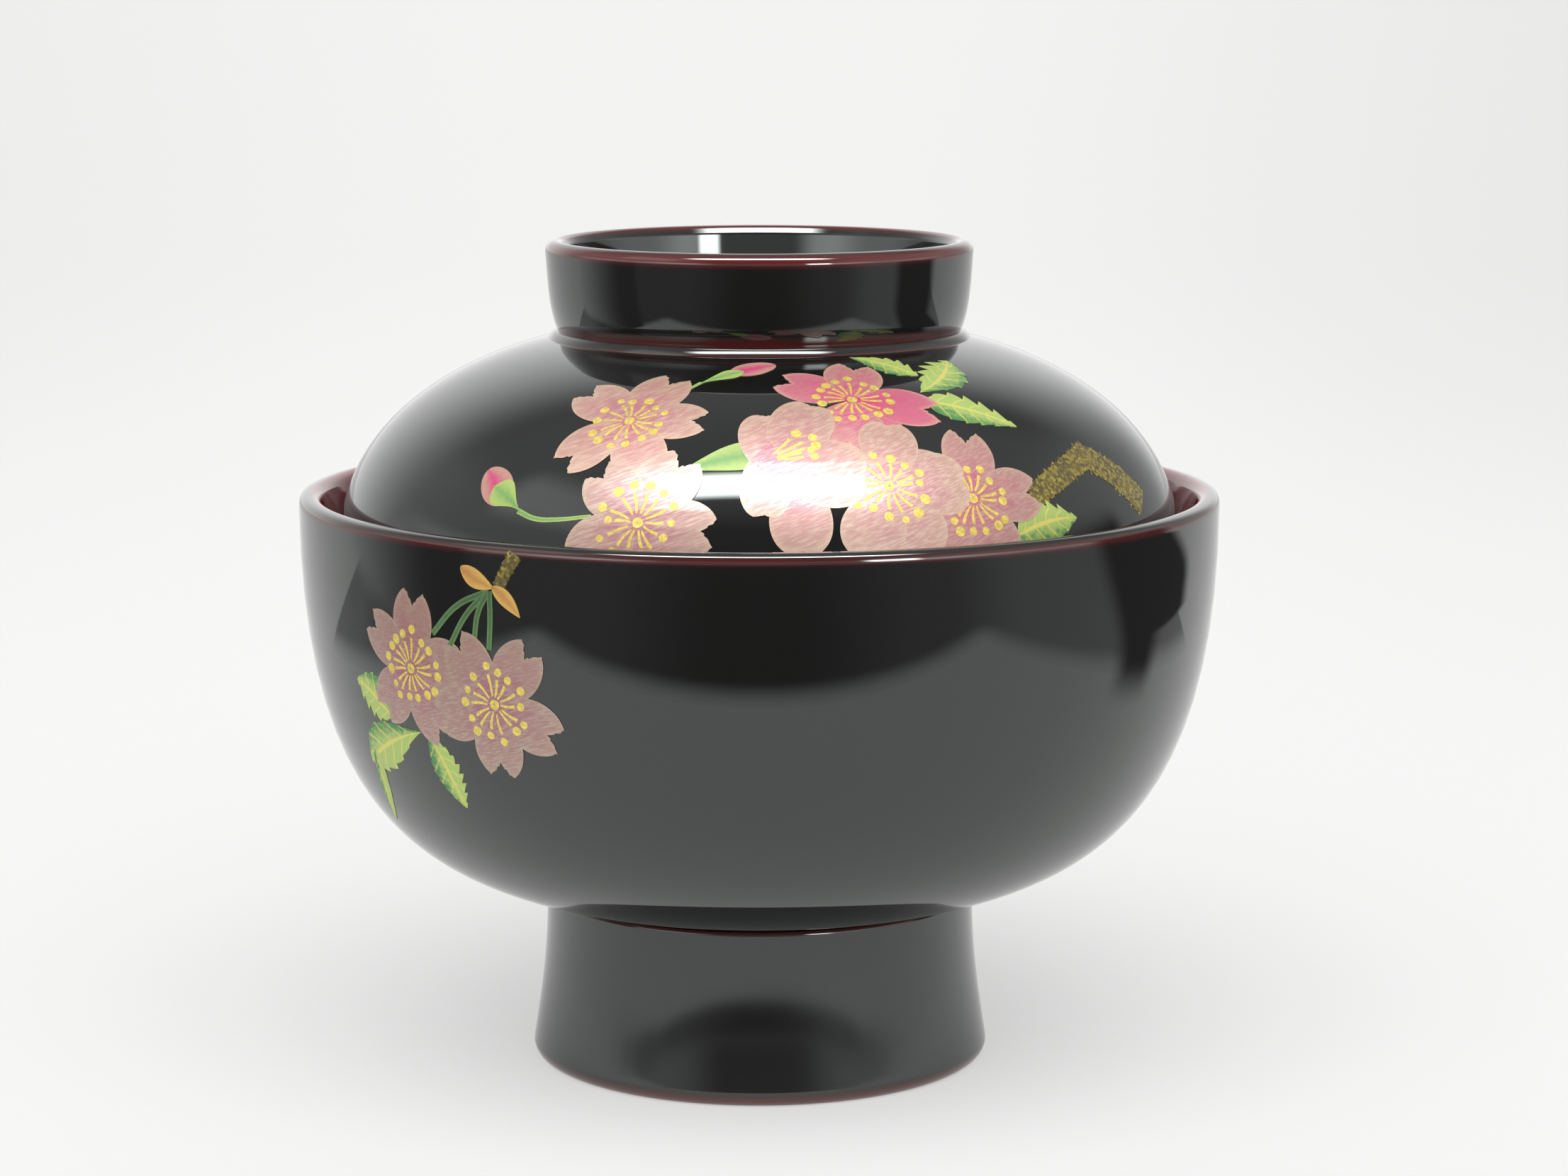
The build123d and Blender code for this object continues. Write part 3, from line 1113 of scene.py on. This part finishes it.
def petal_paint(name):
    """Pink powder, deeper towards the middle, with a pale edge, a slanted brush mark and painted light."""
    colours = bpy.context.scene.bowl_colours
    material, bench = new_material(name)
    up, tone = kept(bench, "along"), kept(bench, "tone")
    place = object_place(bench)
    slanted = bench.node(
        "ShaderNodeMapping",
        {"vector_type": "TEXTURE"},
        {"Vector": place, "Rotation": (0, BRUSH_SLANT, 0), "Scale": BRUSH_SIZE},
    )
    brush = noise(bench, slanted, 1.0, 3.0, 0.65)
    cloud = noise(bench, place, 260.0)
    dust = brush.step(0.42, 0.66)
    rose = kept(bench, "rose") * (tone * 0.8 + 0.6)
    deep = mix(bench, rose, colours.petal_deep, colours.petal_rose)
    spread = (up + (cloud - 0.5) * 0.5 + tone * 0.12).step(0.1, 0.95)
    ground = mix(bench, spread * (1 - rose * 0.45), deep, colours.petal_pale)
    edged = mix(bench, up.step(0.88, 1.0) * 0.45, ground, colours.petal_edge)
    dusted = mix(bench, dust * (0.5 - rose * 0.35), edged, colours.petal_edge)
    end_material(
        bench,
        {
            # Painted light: the colour is darkened by the blossom's light level, in place of the light that
            # falls on it
            "Base Color": mix(bench, kept(bench, "light"), (0, 0, 0), dusted),
            "Roughness": brush * 0.2 + 0.38,
            "Metallic": dust * 0.25 + 0.05,
            "IOR": 1.5,
            "Coat Weight": (dust * 0.6 + 0.4) * (1 - rose * 0.4),
            "Coat Roughness": 0.33,
            "Coat IOR": 2.6,
            "Normal": bump(bench, brush, 0.5, POWDER_DEPTH),
        },
    )
    return material


def gold_paint(name):
    """Raised yellow-gold lines."""
    gold = bpy.context.scene.bowl_colours.gold
    material, bench = new_material(name)
    grain = noise(bench, object_place(bench), 2600.0)
    end_material(
        bench,
        {
            "Base Color": mix(bench, grain.step(0.35, 0.7), shaded(gold, 0.72), gold),
            "Roughness": grain * 0.2 + 0.3,
            "Metallic": 0.25,
            "Normal": bump(bench, grain, 0.2, POWDER_DEPTH),
        },
    )
    return material


def leaf_paint(name):
    """Green paint, darker on one side, with gold veins."""
    colours = bpy.context.scene.bowl_colours
    material, bench = new_material(name)
    up, across = kept(bench, "along"), kept(bench, "across")
    stipple = noise(bench, object_place(bench), 1500.0, 3.0, 0.7)
    shade = (across * 0.5 + up * -0.25 + stipple * 0.9).step(0.35, 0.85)
    ground = mix(bench, shade, colours.leaf_light, colours.leaf_dark)
    rib = 1 - abs(across).step(0.05, 0.13)
    slope = (up * 5.5 - abs(across) * 0.9).math("FRACT") - 0.5
    twigs = 1 - abs(slope).step(0.04, 0.1)
    veins = rib.math("MAXIMUM", twigs * 0.8)
    end_material(
        bench,
        {
            "Base Color": mix(bench, veins * 0.6, ground, colours.gold),
            "Roughness": stipple * 0.2 + 0.38,
            "IOR": 1.5,
            "Normal": bump(bench, stipple + veins, 0.2, POWDER_DEPTH),
        },
    )
    return material


def plain_paint(name, shade, light):
    """Paint that shades from the middle of each stroke to its sides and tip, with a fine stipple."""
    material, bench = new_material(name)
    up, across = kept(bench, "along"), kept(bench, "across")
    stipple = noise(bench, object_place(bench), 1800.0, 3.0, 0.7)
    lit = (abs(across) * 0.6 + up * 0.3 + stipple * 0.5).step(0.35, 0.95)
    end_material(
        bench,
        {
            "Base Color": mix(bench, lit, shade, light),
            "Roughness": stipple * 0.2 + 0.38,
            "IOR": 1.5,
            "Normal": bump(bench, stipple, 0.2, POWDER_DEPTH),
        },
    )
    return material


def flecked_paint(name):
    """Dark ground strewn with gold flakes."""
    colours = bpy.context.scene.bowl_colours
    material, bench = new_material(name)
    place = object_place(bench)
    flakes = bench.node("ShaderNodeTexVoronoi", {"feature": "F1"}, {"Vector": place, "Scale": 2600.0})
    pick = bench.node("ShaderNodeSeparateColor", {}, {"Color": flakes.out("Color")})
    gold = (pick + noise(bench, place, 500.0) * 0.6).step(0.45, 0.95)
    bright = mix(bench, pick.out("Green") * 0.6, colours.fleck, colours.gold)
    end_material(
        bench,
        {
            "Base Color": mix(bench, gold, colours.bark, bright),
            "Roughness": pick.out("Blue") * 0.25 + 0.2,
            "Metallic": gold * 0.85,
            "Normal": bump(bench, pick, 0.4, POWDER_DEPTH),
        },
    )
    return material


def paint_for(kind):
    """The paint for a kind of motif, mixed the first time it is asked for."""
    colours = bpy.context.scene.bowl_colours
    recipes = {
        "petal": (petal_paint,),
        "stamen": (gold_paint,),
        "leaf": (leaf_paint,),
        "bud": (plain_paint, colours.petal_rose, colours.petal_pale),
        "calyx": (plain_paint, colours.calyx, colours.leaf_light),
        "bract": (plain_paint, colours.bract, colours.bract_light),
        "stem": (plain_paint, colours.stem, colours.stem_light),
        "bough": (flecked_paint,),
    }
    name = kind + "_paint"
    mix_paint, *shades = recipes[kind]
    return bpy.data.materials.get(name) or mix_paint(name, *shades)


# Painting

RAY_START = 0.3
FIRST_SEED = 11
SEED_STEP = 7


def tangent_frame(surface, azimuth, height):
    """The frame at a place on lacquer, in the units of the lists: x round it, y up it and z outwards."""
    around = radians(azimuth)
    outward = Vector((sin(around), -cos(around), 0))
    start = outward * RAY_START + Vector((0, 0, height * MM))
    hit, place, normal, _ = surface.ray_cast(start, -outward)
    if not hit:
        raise RuntimeError(f"no lacquer at a height of {height} mm")
    side = Vector((cos(around), sin(around), 0))
    up = normal.cross(side).normalized()
    turned = Matrix((side, up, normal)).transposed().to_4x4()
    return Matrix.Translation(place) @ turned


def petal_points(name, petals):
    """A mesh with a point at each petal's root, which holds the petal's spin, reach and width."""
    mesh = bpy.data.meshes.new(name)
    mesh.from_pydata([(petal.x * MM, petal.y * MM, 0) for petal in petals], [], [])
    numbers = {
        "spin": [radians(petal.spin) for petal in petals],
        "reach": [petal.reach for petal in petals],
        "wide": [petal.wide for petal in petals],
    }
    for key, values in numbers.items():
        mesh.attributes.new(key, "FLOAT", "POINT").data.foreach_set("value", values)
    return mesh


def blade_place(surface, blade):
    """The frame at a blade's base, with y towards its tip, and the blade's length."""
    start = (blade.azimuth, blade.height)
    end = (blade.to_azimuth, blade.to_height)
    flat = tangent_frame(surface, (start[0] + end[0]) / 2, (start[1] + end[1]) / 2)
    base, tip = (flat.inverted() @ tangent_frame(surface, *place).translation for place in (start, end))
    run = (tip - base).xy
    heading = Matrix.Rotation(run.angle_signed(Vector((0, 1))), 4, "Z")
    return flat @ Matrix.Translation((base.x, base.y, 0)) @ heading, run.length


def strand_path(name, places):
    """A smooth curve through places on the lacquer."""
    curve = bpy.data.curves.new(name, "CURVE")
    curve.dimensions = "3D"
    curve.resolution_u = PATH_STEPS
    spline = curve.splines.new("BEZIER")
    spline.bezier_points.add(len(places) - 1)
    for point, place in zip(spline.bezier_points, places):
        point.co = place.translation
        point.handle_left_type = point.handle_right_type = "AUTO"
    return link(bpy.data.objects.new(name, curve))


def motif(mesh, tree, place, values):
    """An object at a place that a tree paints with one motif."""
    obj = link(bpy.data.objects.new(mesh.name, mesh))
    obj.matrix_world = place
    grow(obj, tree, values)
    return obj


def gather(name, motifs, body):
    """Join painted motifs into one piece with the paint's thickness, which rides on a body."""
    film = bpy.context.scene.bowl_paint.film
    for part in motifs:
        harden(part, film)
    with bpy.context.temp_override(active_object=motifs[0], selected_editable_objects=motifs):
        bpy.ops.object.join()
    piece = motifs[0]
    piece.name = piece.data.name = name
    return attach(piece, body)


def paint_blossoms(name, surface, blossoms, body):
    """Paint blossoms on a surface, as one piece."""
    sizes = bpy.context.scene.bowl_paint
    tree = tree_of("blossom", blossom_tree)
    motifs = []
    for number, blossom in enumerate(blossoms):
        all_round = blossom.fan == ALL_ROUND
        values = {
            "Surface": surface,
            "Petal": sizes.petal,
            "Notch": sizes.notch * blossom.notch,
            "Fray": sizes.fray * blossom.notch,
            "Stamens": round(sizes.stamens * blossom.stamens),
            "Hearts": int(all_round),
            "Stamen reach": 1.0 if all_round else SIDE_FAN_REACH,
            "Filament": sizes.filament,
            "Anther": sizes.anther,
            "Fan heading": radians(blossom.fan[0]),
            "Fan spread": radians(blossom.fan[1]),
            "Rise": sizes.film + blossom.layer * sizes.layer,
            "Layer": sizes.layer,
            "Rose": blossom.rose,
            "Light": blossom.light,
            "Seed": FIRST_SEED + SEED_STEP * number,
            "Petal paint": paint_for("petal"),
            "Stamen paint": paint_for("stamen"),
        }
        points = petal_points(f"{name}_{number}", blossom.petals)
        place = tangent_frame(surface, blossom.azimuth, blossom.height)
        motifs.append(motif(points, tree, place, values))
    return gather(name, motifs, body)


def paint_blades(name, surface, blades, body):
    """Paint leaves, buds and bud scales on a surface, as one piece."""
    sizes = bpy.context.scene.bowl_paint
    tree = tree_of("blade", blade_tree)
    motifs = []
    for number, blade in enumerate(blades):
        place, reach = blade_place(surface, blade)
        values = {
            "Surface": surface,
            "Length": reach,
            "Width": blade.width * MM,
            "Fullness": blade.fullness,
            "Sharpness": 0.5 if blade.kind == "bud" else 0.85,
            "Bend": blade.bend,
            "Teeth": float(blade.teeth),
            "Tooth depth": blade.depth,
            "Rise": sizes.film + blade.layer * sizes.layer,
            "Finish": paint_for(blade.kind),
        }
        motifs.append(motif(bpy.data.meshes.new(f"{name}_{number}"), tree, place, values))
    return gather(name, motifs, body)


def paint_strands(name, surface, strands, body):
    """Paint stems and boughs on a surface, as one piece."""
    sizes = bpy.context.scene.bowl_paint
    tree = tree_of("strand", strand_tree)
    motifs = []
    paths = []
    for number, strand in enumerate(strands):
        places = [tangent_frame(surface, *point) for point in strand.points]
        paths.append(strand_path(f"{name}_path_{number}", places))
        values = {
            "Surface": surface,
            "Path": paths[-1],
            "Start width": strand.start_width * MM,
            "End width": strand.end_width * MM,
            "Ragged": strand.ragged,
            "Rise": sizes.film + strand.layer * sizes.layer,
            "Finish": paint_for(strand.kind),
        }
        middle = places[len(places) // 2]
        motifs.append(motif(bpy.data.meshes.new(f"{name}_{number}"), tree, middle, values))
    piece = gather(name, motifs, body)
    for path in paths:
        bpy.data.objects.remove(path)
    return piece


class BOWL_OT_turn_bowl(bpy.types.Operator):
    """Turn the bowl's outer and inner lacquer"""

    bl_idname = "bowl.turn_bowl"
    bl_label = "Turn bowl"

    def execute(self, context):
        sizes = context.scene.bowl_sizes
        rim = Edge(
            radius=sizes.rim_radius, height=sizes.rim_height - 0.9 * MM, reach=0.85 * MM, strength=0.62
        )
        dark = dark_lacquer("bowl_dark_lacquer", [rim])
        red = red_lacquer("inner_red_lacquer")
        outer = turn("bowl_outer_lacquer", bowl_outside(sizes), dark, sizes.lacquer)
        inner = turn("bowl_inner_lacquer", bowl_inside(sizes), red, sizes.lacquer)
        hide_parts("bowl_outer_coat")
        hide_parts("bowl_inner_coat")
        attach(outer, "bowl")
        attach(inner, "bowl")
        return {"FINISHED"}


class BOWL_OT_turn_foot(bpy.types.Operator):
    """Turn the foot, lacquered all over"""

    bl_idname = "bowl.turn_foot"
    bl_label = "Turn foot"

    def execute(self, context):
        sizes = context.scene.bowl_sizes
        top = Edge(
            radius=NECK_RADIUS + FOOT_STEP, height=sizes.foot_height, reach=0.9 * MM, strength=0.7
        )
        toe = Edge(radius=sizes.foot_radius - 0.4 * MM, height=0.5 * MM, reach=1.8 * MM, strength=0.8)
        dark = dark_lacquer("foot_dark_lacquer", [top, toe], roughness=0.085)
        foot = turn("foot_lacquer", whole_foot(sizes), dark)
        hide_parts("foot", "foot_outer_coat", "foot_recess_coat")
        attach(foot, "bowl")
        return {"FINISHED"}


class BOWL_OT_turn_lid(bpy.types.Operator):
    """Turn the lid's outer and inner lacquer"""

    bl_idname = "bowl.turn_lid"
    bl_label = "Turn lid"

    def execute(self, context):
        sizes = context.scene.bowl_sizes
        lip = Edge(radius=sizes.lid_radius - 0.3 * MM, height=sizes.lid_base, reach=2.0 * MM, strength=0.9)
        dark = dark_lacquer("lid_dark_lacquer", [lip])
        red = red_lacquer("lid_red_lacquer")
        outer = turn("lid_outer_lacquer", lid_outside(sizes), dark, sizes.lacquer)
        inner = turn("lid_inner_lacquer", lid_inside(sizes), red, sizes.lacquer)
        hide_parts("lid_outer_coat")
        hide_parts("lid_inner_coat")
        attach(outer, "lid")
        attach(inner, "lid")
        return {"FINISHED"}


class BOWL_OT_turn_ring(bpy.types.Operator):
    """Turn the ring handle's lacquer"""

    bl_idname = "bowl.turn_ring"
    bl_label = "Turn ring handle"

    def execute(self, context):
        sizes = context.scene.bowl_sizes
        crease_height = sizes.lid_top + LEDGE_RISE + 0.4 * MM
        edges = [
            Edge(sizes.ring_radius - 0.2 * MM, sizes.ring_top - 0.75 * MM, reach=1.3 * MM, strength=1.2),
            Edge(sizes.ring_radius - 1.4 * RING_LIP, sizes.ring_top, reach=1.1 * MM, strength=1.2),
            Edge(NECK_RADIUS, sizes.lid_top, reach=0.35 * MM, strength=1.0),
            Edge(NECK_RADIUS - LEDGE_WIDTH, crease_height, reach=1.2 * MM, strength=0.7),
        ]
        dark = dark_lacquer("ring_dark_lacquer", edges)
        ring = turn("lid_ring_lacquer", ring_outside(sizes), dark, sizes.lacquer)
        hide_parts("lid_ring_coat")
        attach(ring, "lid")
        return {"FINISHED"}


class BOWL_OT_season_wood(bpy.types.Operator):
    """Give the turned cores their wood"""

    bl_idname = "bowl.season_wood"
    bl_label = "Season wood"

    def execute(self, context):
        wood = turned_wood("turned_wood")
        for name in ("bowl_core", "lid_core", "lid_ring"):
            frame["nodes"][name].material_slots[0].material = wood
        return {"FINISHED"}


class BOWL_OT_paint_blossoms(bpy.types.Operator):
    """Paint the blossoms on the lid and the bowl"""

    bl_idname = "bowl.paint_blossoms"
    bl_label = "Paint blossoms"

    def execute(self, context):
        objects = bpy.data.objects
        paint_blossoms("lid_blossoms", objects["lid_outer_lacquer"], LID_BLOSSOMS, "lid")
        paint_blossoms("bowl_blossoms", objects["bowl_outer_lacquer"], BOWL_BLOSSOMS, "bowl")
        return {"FINISHED"}


class BOWL_OT_paint_leaves(bpy.types.Operator):
    """Paint the leaves, buds and bud scales"""

    bl_idname = "bowl.paint_leaves"
    bl_label = "Paint leaves and buds"

    def execute(self, context):
        objects = bpy.data.objects
        paint_blades("lid_leaves", objects["lid_outer_lacquer"], LID_BLADES, "lid")
        paint_blades("bowl_leaves", objects["bowl_outer_lacquer"], BOWL_BLADES, "bowl")
        return {"FINISHED"}


class BOWL_OT_paint_stems(bpy.types.Operator):
    """Paint the stems, the bough and the twig"""

    bl_idname = "bowl.paint_stems"
    bl_label = "Paint stems and bough"

    def execute(self, context):
        objects = bpy.data.objects
        paint_strands("lid_stems", objects["lid_outer_lacquer"], LID_STRANDS, "lid")
        paint_strands("bowl_stems", objects["bowl_outer_lacquer"], BOWL_STRANDS, "bowl")
        return {"FINISHED"}


# Studio

FLOOR_HALF = 20.0
PAPER_TOOTH = 0.1 * MM
ROOM_REACH = 3.0
ROOM_BACK = 0.15
ROOM_LIFT = 0.5 * MM
FLAG_TOP = 0.12
FLAG_SOFT = 10 * MM
WHITE = (1, 1, 1, 1)

SoftLight = namedtuple("SoftLight", "name place size level")
SOFT_LIGHTS = [
    SoftLight("strip_light", (0, -0.49, 1.198), (1.45, 0.42), 27.0),
    SoftLight("window_light", (0.62, -1.012, 0.283), (0.34, 0.36), 14.0),
    SoftLight("side_light", (-0.852, -0.344, 0.871), (0.9, 0.7), 0.7),
]


def paper(name):
    """White paper with a faint tooth, with a painted glow of its own and painted shade far off and to the
    sides.
    """
    floor = bpy.context.scene.bowl_colours.floor
    material, bench = new_material(name)
    place = object_place(bench)
    x, y, _ = parts_of(bench, place)
    far = y + bpy.context.scene.bowl_studio.distance
    aside = x / far.math("MAXIMUM", 0.05)
    # Painted shade: the paper darkens far off and to the sides, in place of light falling away there
    dim = aside.step(0.02, 0.22) * 0.8 + (0.0 - aside).step(0.04, 0.24) * 0.5
    dim = dim * far.step(0.4, 1.5) * 0.75 + far.step(0.5, 2.0) * 0.4
    shade = mix(bench, dim, floor, shaded(floor, 0.86))
    end_material(
        bench,
        {
            "Base Color": shade,
            # Painted glow: the paper gives off its own colour as light, which fills in shadows on it and
            # lights the bowl from below
            "Emission Color": shade,
            "Emission Strength": 1.0,
            "Roughness": 0.9,
            "Specular IOR Level": 0.1,
            "Normal": bump(bench, noise(bench, place, 900.0, 3.0), 0.05, PAPER_TOOTH),
        },
    )
    return material


def level_corners(left, right, near, far, height=0.0):
    """The corners of a level rectangle."""
    return [(left, near, height), (right, near, height), (right, far, height), (left, far, height)]


def rectangle(name, corners, material):
    """A flat stage piece with the given corners."""
    mesh = bpy.data.meshes.new(name)
    mesh.from_pydata(corners, [], [list(range(len(corners)))])
    mesh.materials.append(material)
    return link(bpy.data.objects.new(name, mesh))


def seen_in_gloss_only(obj):
    """A card that shows in reflections and nowhere else."""
    obj.visible_camera = False
    obj.visible_diffuse = False
    obj.visible_shadow = False
    obj.visible_transmission = False
    return obj


def glow(bench, shade, strength=1.0):
    """A shader that gives off light."""
    return bench.node("ShaderNodeEmission", {}, {"Color": shade, "Strength": strength})


def room_floor(name, front, side):
    """What lies beyond the paper, as it shows in lacquer: dark in front, dim to the sides and far off."""
    material, bench = new_material(name)
    x, y, _ = parts_of(bench, object_place(bench))
    ahead = 0.0 - y
    bearing = x.math("ARCTAN2", ahead)
    shade = abs(bearing).step(radians(8), radians(40)) * 0.13 + ahead.step(0.3, 1.2) * 0.06 + 0.035
    shade = shade + bearing.step(radians(40), radians(64)) * 0.26
    shade = shade + (0.0 - bearing).step(radians(94), radians(108)) * 0.26
    white = (1 - ahead.step(front, front * 1.2)) * (1 - abs(x).step(side, side * 1.2))
    end_surface(glow(bench, shade * (1 - white) + white * 0.88))
    return material


def set_room(front, side):
    """Lay the room's floor round the paper."""
    material = room_floor("room", front, side)
    patches = {
        "room_front": (-ROOM_REACH, ROOM_REACH, -ROOM_REACH, -front),
        "room_left": (-ROOM_REACH, -side, -front, ROOM_BACK),
        "room_right": (side, ROOM_REACH, -front, ROOM_BACK),
    }
    for name, sides in patches.items():
        seen_in_gloss_only(rectangle(name, level_corners(*sides, ROOM_LIFT), material))


def flag_bench(name):
    """An empty material for a flag. Gives a place's distance along the flag and its height too."""
    material, bench = new_material(name)
    _, along_flag, height = parts_of(bench, object_place(bench))
    return material, along_flag, height


def flag(material, across, near, far, mask, shade):
    """An upright card that shows in the lacquer where its mask is on."""
    clear = mask.node("ShaderNodeBsdfTransparent")
    end_surface(mask.node("ShaderNodeMixShader", {}, {0: mask, 1: clear, 2: glow(mask, shade)}))
    corners = [(across, near, 0), (across, far, 0), (across, far, FLAG_TOP), (across, near, FLAG_TOP)]
    return seen_in_gloss_only(rectangle(material.name, corners, material))


def right_flag():
    """A dark flag, wider in its middle, with soft edges."""
    material, along_flag, height = flag_bench("right_flag")
    near = (1 - height.step(0.02, 0.07)) * 0.034 - 0.046
    far = (height.step(0.031, 0.037) - height.step(0.045, 0.065)) * 0.04 + 0.022
    mask = (along_flag - near).step(-FLAG_SOFT, FLAG_SOFT) * (far - along_flag).step(-FLAG_SOFT, FLAG_SOFT)
    mask = mask * (height - 0.014).step(-FLAG_SOFT, FLAG_SOFT) * (1 - height.step(0.09, FLAG_TOP))
    return flag(material, 0.15, -0.06, 0.075, mask, (0.06, 0.06, 0.06, 1))


def left_flag():
    """A flag that goes from dark at its near end to pale at its far end, over a slanted foot."""
    material, along_flag, height = flag_bench("left_flag")
    foot_line = (along_flag + 0.05) * 0.4
    mask = (along_flag + 0.095).step(-FLAG_SOFT, FLAG_SOFT) * (1 - along_flag.step(0.05, 0.08))
    mask = mask * (height - foot_line).step(-FLAG_SOFT, FLAG_SOFT) * (1 - height.step(0.09, FLAG_TOP))
    shade = along_flag.step(-0.06, 0.075) * 0.8 + 0.08
    return flag(material, -0.212, -0.11, 0.08, mask, shade)


def soft_light(light):
    """A card of light that faces the lid, bright in its middle and fading to its edges."""
    half = Vector(light.size) / 2
    material, bench = new_material(light.name)
    x, y, _ = parts_of(bench, object_place(bench))
    across = 1 - abs(x).step(0.5 * half.x, half.x)
    up = 1 - abs(y).step(0.2 * half.y, half.y)
    clear = bench.node("ShaderNodeBsdfTransparent")
    lit = glow(bench, WHITE, across * up * light.level)
    end_surface(bench.node("ShaderNodeAddShader", {}, {0: clear, 1: lit}))
    card = rectangle(light.name, level_corners(-half.x, half.x, -half.y, half.y), material)
    place = Vector(light.place)
    aim = place - Vector((0, 0, lid_high.z))
    card.matrix_world = Matrix.Translation(place) @ aim.to_track_quat("Z", "Y").to_matrix().to_4x4()
    return seen_in_gloss_only(card)


def background(bench, shade, strength=1.0):
    """A shader for the sky."""
    return bench.node("ShaderNodeBackground", {}, {"Color": shade, "Strength": strength})


def set_sky():
    """An even white sky. Gloss sees the studio: white paper at the back, a grey ceiling and a dim front."""
    world = bpy.data.worlds.new("studio")
    bpy.context.scene.world = world
    world.use_nodes = True
    world.node_tree.nodes.clear()
    bench = Wire(world.node_tree)
    x, back, height = parts_of(bench, bench.node("ShaderNodeTexCoord").out("Generated"))
    aside = abs(x)
    side = aside.step(0.3, 0.8) * (0.5 - height.step(0.5, 0.85) * 0.3)
    ceiling = height.step(0.6, 0.9) * 0.3
    walls = height.step(0.04, 0.1) * (1 - height.step(0.15, 0.32)) * (1 - back.step(0.1, 0.5))
    windows = aside.step(0.35, 0.6) - aside.step(0.7, 0.97) * 0.8
    front = walls * (windows * 1.6 + 0.35) + side + ceiling + 0.1
    sweep = (back - x * 0.12).step(0.5, 0.92) * (1 - height.step(0.65, 0.95))
    right_dim = x.step(0.2, 0.6) * (1 - height.step(0.25, 0.6)) * 0.45
    studio = background(bench, front * (1 - sweep) + sweep * (1.25 - right_dim))
    rays = bench.node("ShaderNodeLightPath")
    even = background(bench, WHITE, 0.4)
    backdrop = background(bench, WHITE, 0.86)
    seen = bench.node("ShaderNodeMixShader", {}, {0: rays.out("Is Camera Ray"), 1: even, 2: backdrop})
    both = bench.node("ShaderNodeMixShader", {}, {0: rays.out("Is Glossy Ray"), 1: seen, 2: studio})
    bench.node("ShaderNodeOutputWorld", {}, {"Surface": both})


def set_key_light(studio):
    """A broad overhead light that no gloss sees."""
    sun = bpy.data.lights.new("key_light", "SUN")
    sun.energy = studio.key_level
    sun.angle = studio.key_spread
    key = link(bpy.data.objects.new("key_light", sun))
    key.rotation_euler = (studio.key_tilt, 0, 0)
    key.visible_glossy = False


def set_camera(studio):
    """A camera in front of the bowl, a little above it."""
    camera = bpy.data.cameras.new("camera")
    camera.lens = studio.lens
    camera.sensor_width = 36
    camera.clip_start = 0.01
    camera.clip_end = 100
    eye = link(bpy.data.objects.new("camera", camera))
    eye.location = (0, -studio.distance, studio.height)
    eye.rotation_euler = (pi / 2 - studio.pitch, 0, -studio.swing)
    bpy.context.scene.camera = eye
    bpy.context.scene.view_settings.view_transform = "Standard"


class BOWL_OT_set_stage(bpy.types.Operator):
    """Set the floor, lights and camera"""

    bl_idname = "bowl.set_stage"
    bl_label = "Set stage"

    def execute(self, context):
        studio = context.scene.bowl_studio
        corners = level_corners(-FLOOR_HALF, FLOOR_HALF, -FLOOR_HALF, FLOOR_HALF)
        rectangle("floor", corners, paper("paper"))
        set_room(studio.paper_front, studio.paper_side)
        right_flag()
        left_flag()
        for light in SOFT_LIGHTS:
            soft_light(light)
        set_key_light(studio)
        set_sky()
        set_camera(studio)
        return {"FINISHED"}


class BOWL_PT_panel(bpy.types.Panel):
    """The pieces of the bowl, in the order they are made"""

    bl_idname = "BOWL_PT_panel"
    bl_label = "Lidded bowl"
    bl_space_type = "VIEW_3D"
    bl_region_type = "UI"
    bl_category = "Bowl"

    def draw(self, context):
        for operator in OPERATORS:
            self.layout.operator(operator.bl_idname)
        for group in GROUPS:
            settings = getattr(context.scene, group)
            for name in settings.__annotations__:
                self.layout.prop(settings, name)


GROUPS = {
    "bowl_sizes": BowlSizes,
    "bowl_colours": BowlColours,
    "bowl_paint": PaintSizes,
    "bowl_studio": StudioSettings,
}
OPERATORS = [
    BOWL_OT_turn_bowl,
    BOWL_OT_turn_foot,
    BOWL_OT_turn_lid,
    BOWL_OT_turn_ring,
    BOWL_OT_season_wood,
    BOWL_OT_paint_blossoms,
    BOWL_OT_paint_leaves,
    BOWL_OT_paint_stems,
    BOWL_OT_set_stage,
]


def register():
    """Register the settings, the operators and the panel."""
    for name, group in GROUPS.items():
        bpy.utils.register_class(group)
        setattr(bpy.types.Scene, name, PointerProperty(type=group))
    for operator in OPERATORS:
        bpy.utils.register_class(operator)
    bpy.utils.register_class(BOWL_PT_panel)


def unregister():
    """Take away what register() added."""
    bpy.utils.unregister_class(BOWL_PT_panel)
    for operator in reversed(OPERATORS):
        bpy.utils.unregister_class(operator)
    for name, group in reversed(GROUPS.items()):
        delattr(bpy.types.Scene, name)
        bpy.utils.unregister_class(group)


def main():
    """Make every piece and the stage."""
    register()
    bpy.ops.bowl.turn_bowl()
    bpy.ops.bowl.turn_foot()
    bpy.ops.bowl.turn_lid()
    bpy.ops.bowl.turn_ring()
    bpy.ops.bowl.season_wood()
    bpy.ops.bowl.paint_blossoms()
    bpy.ops.bowl.paint_leaves()
    bpy.ops.bowl.paint_stems()
    bpy.ops.bowl.set_stage()


if __name__ == "__main__":
    main()
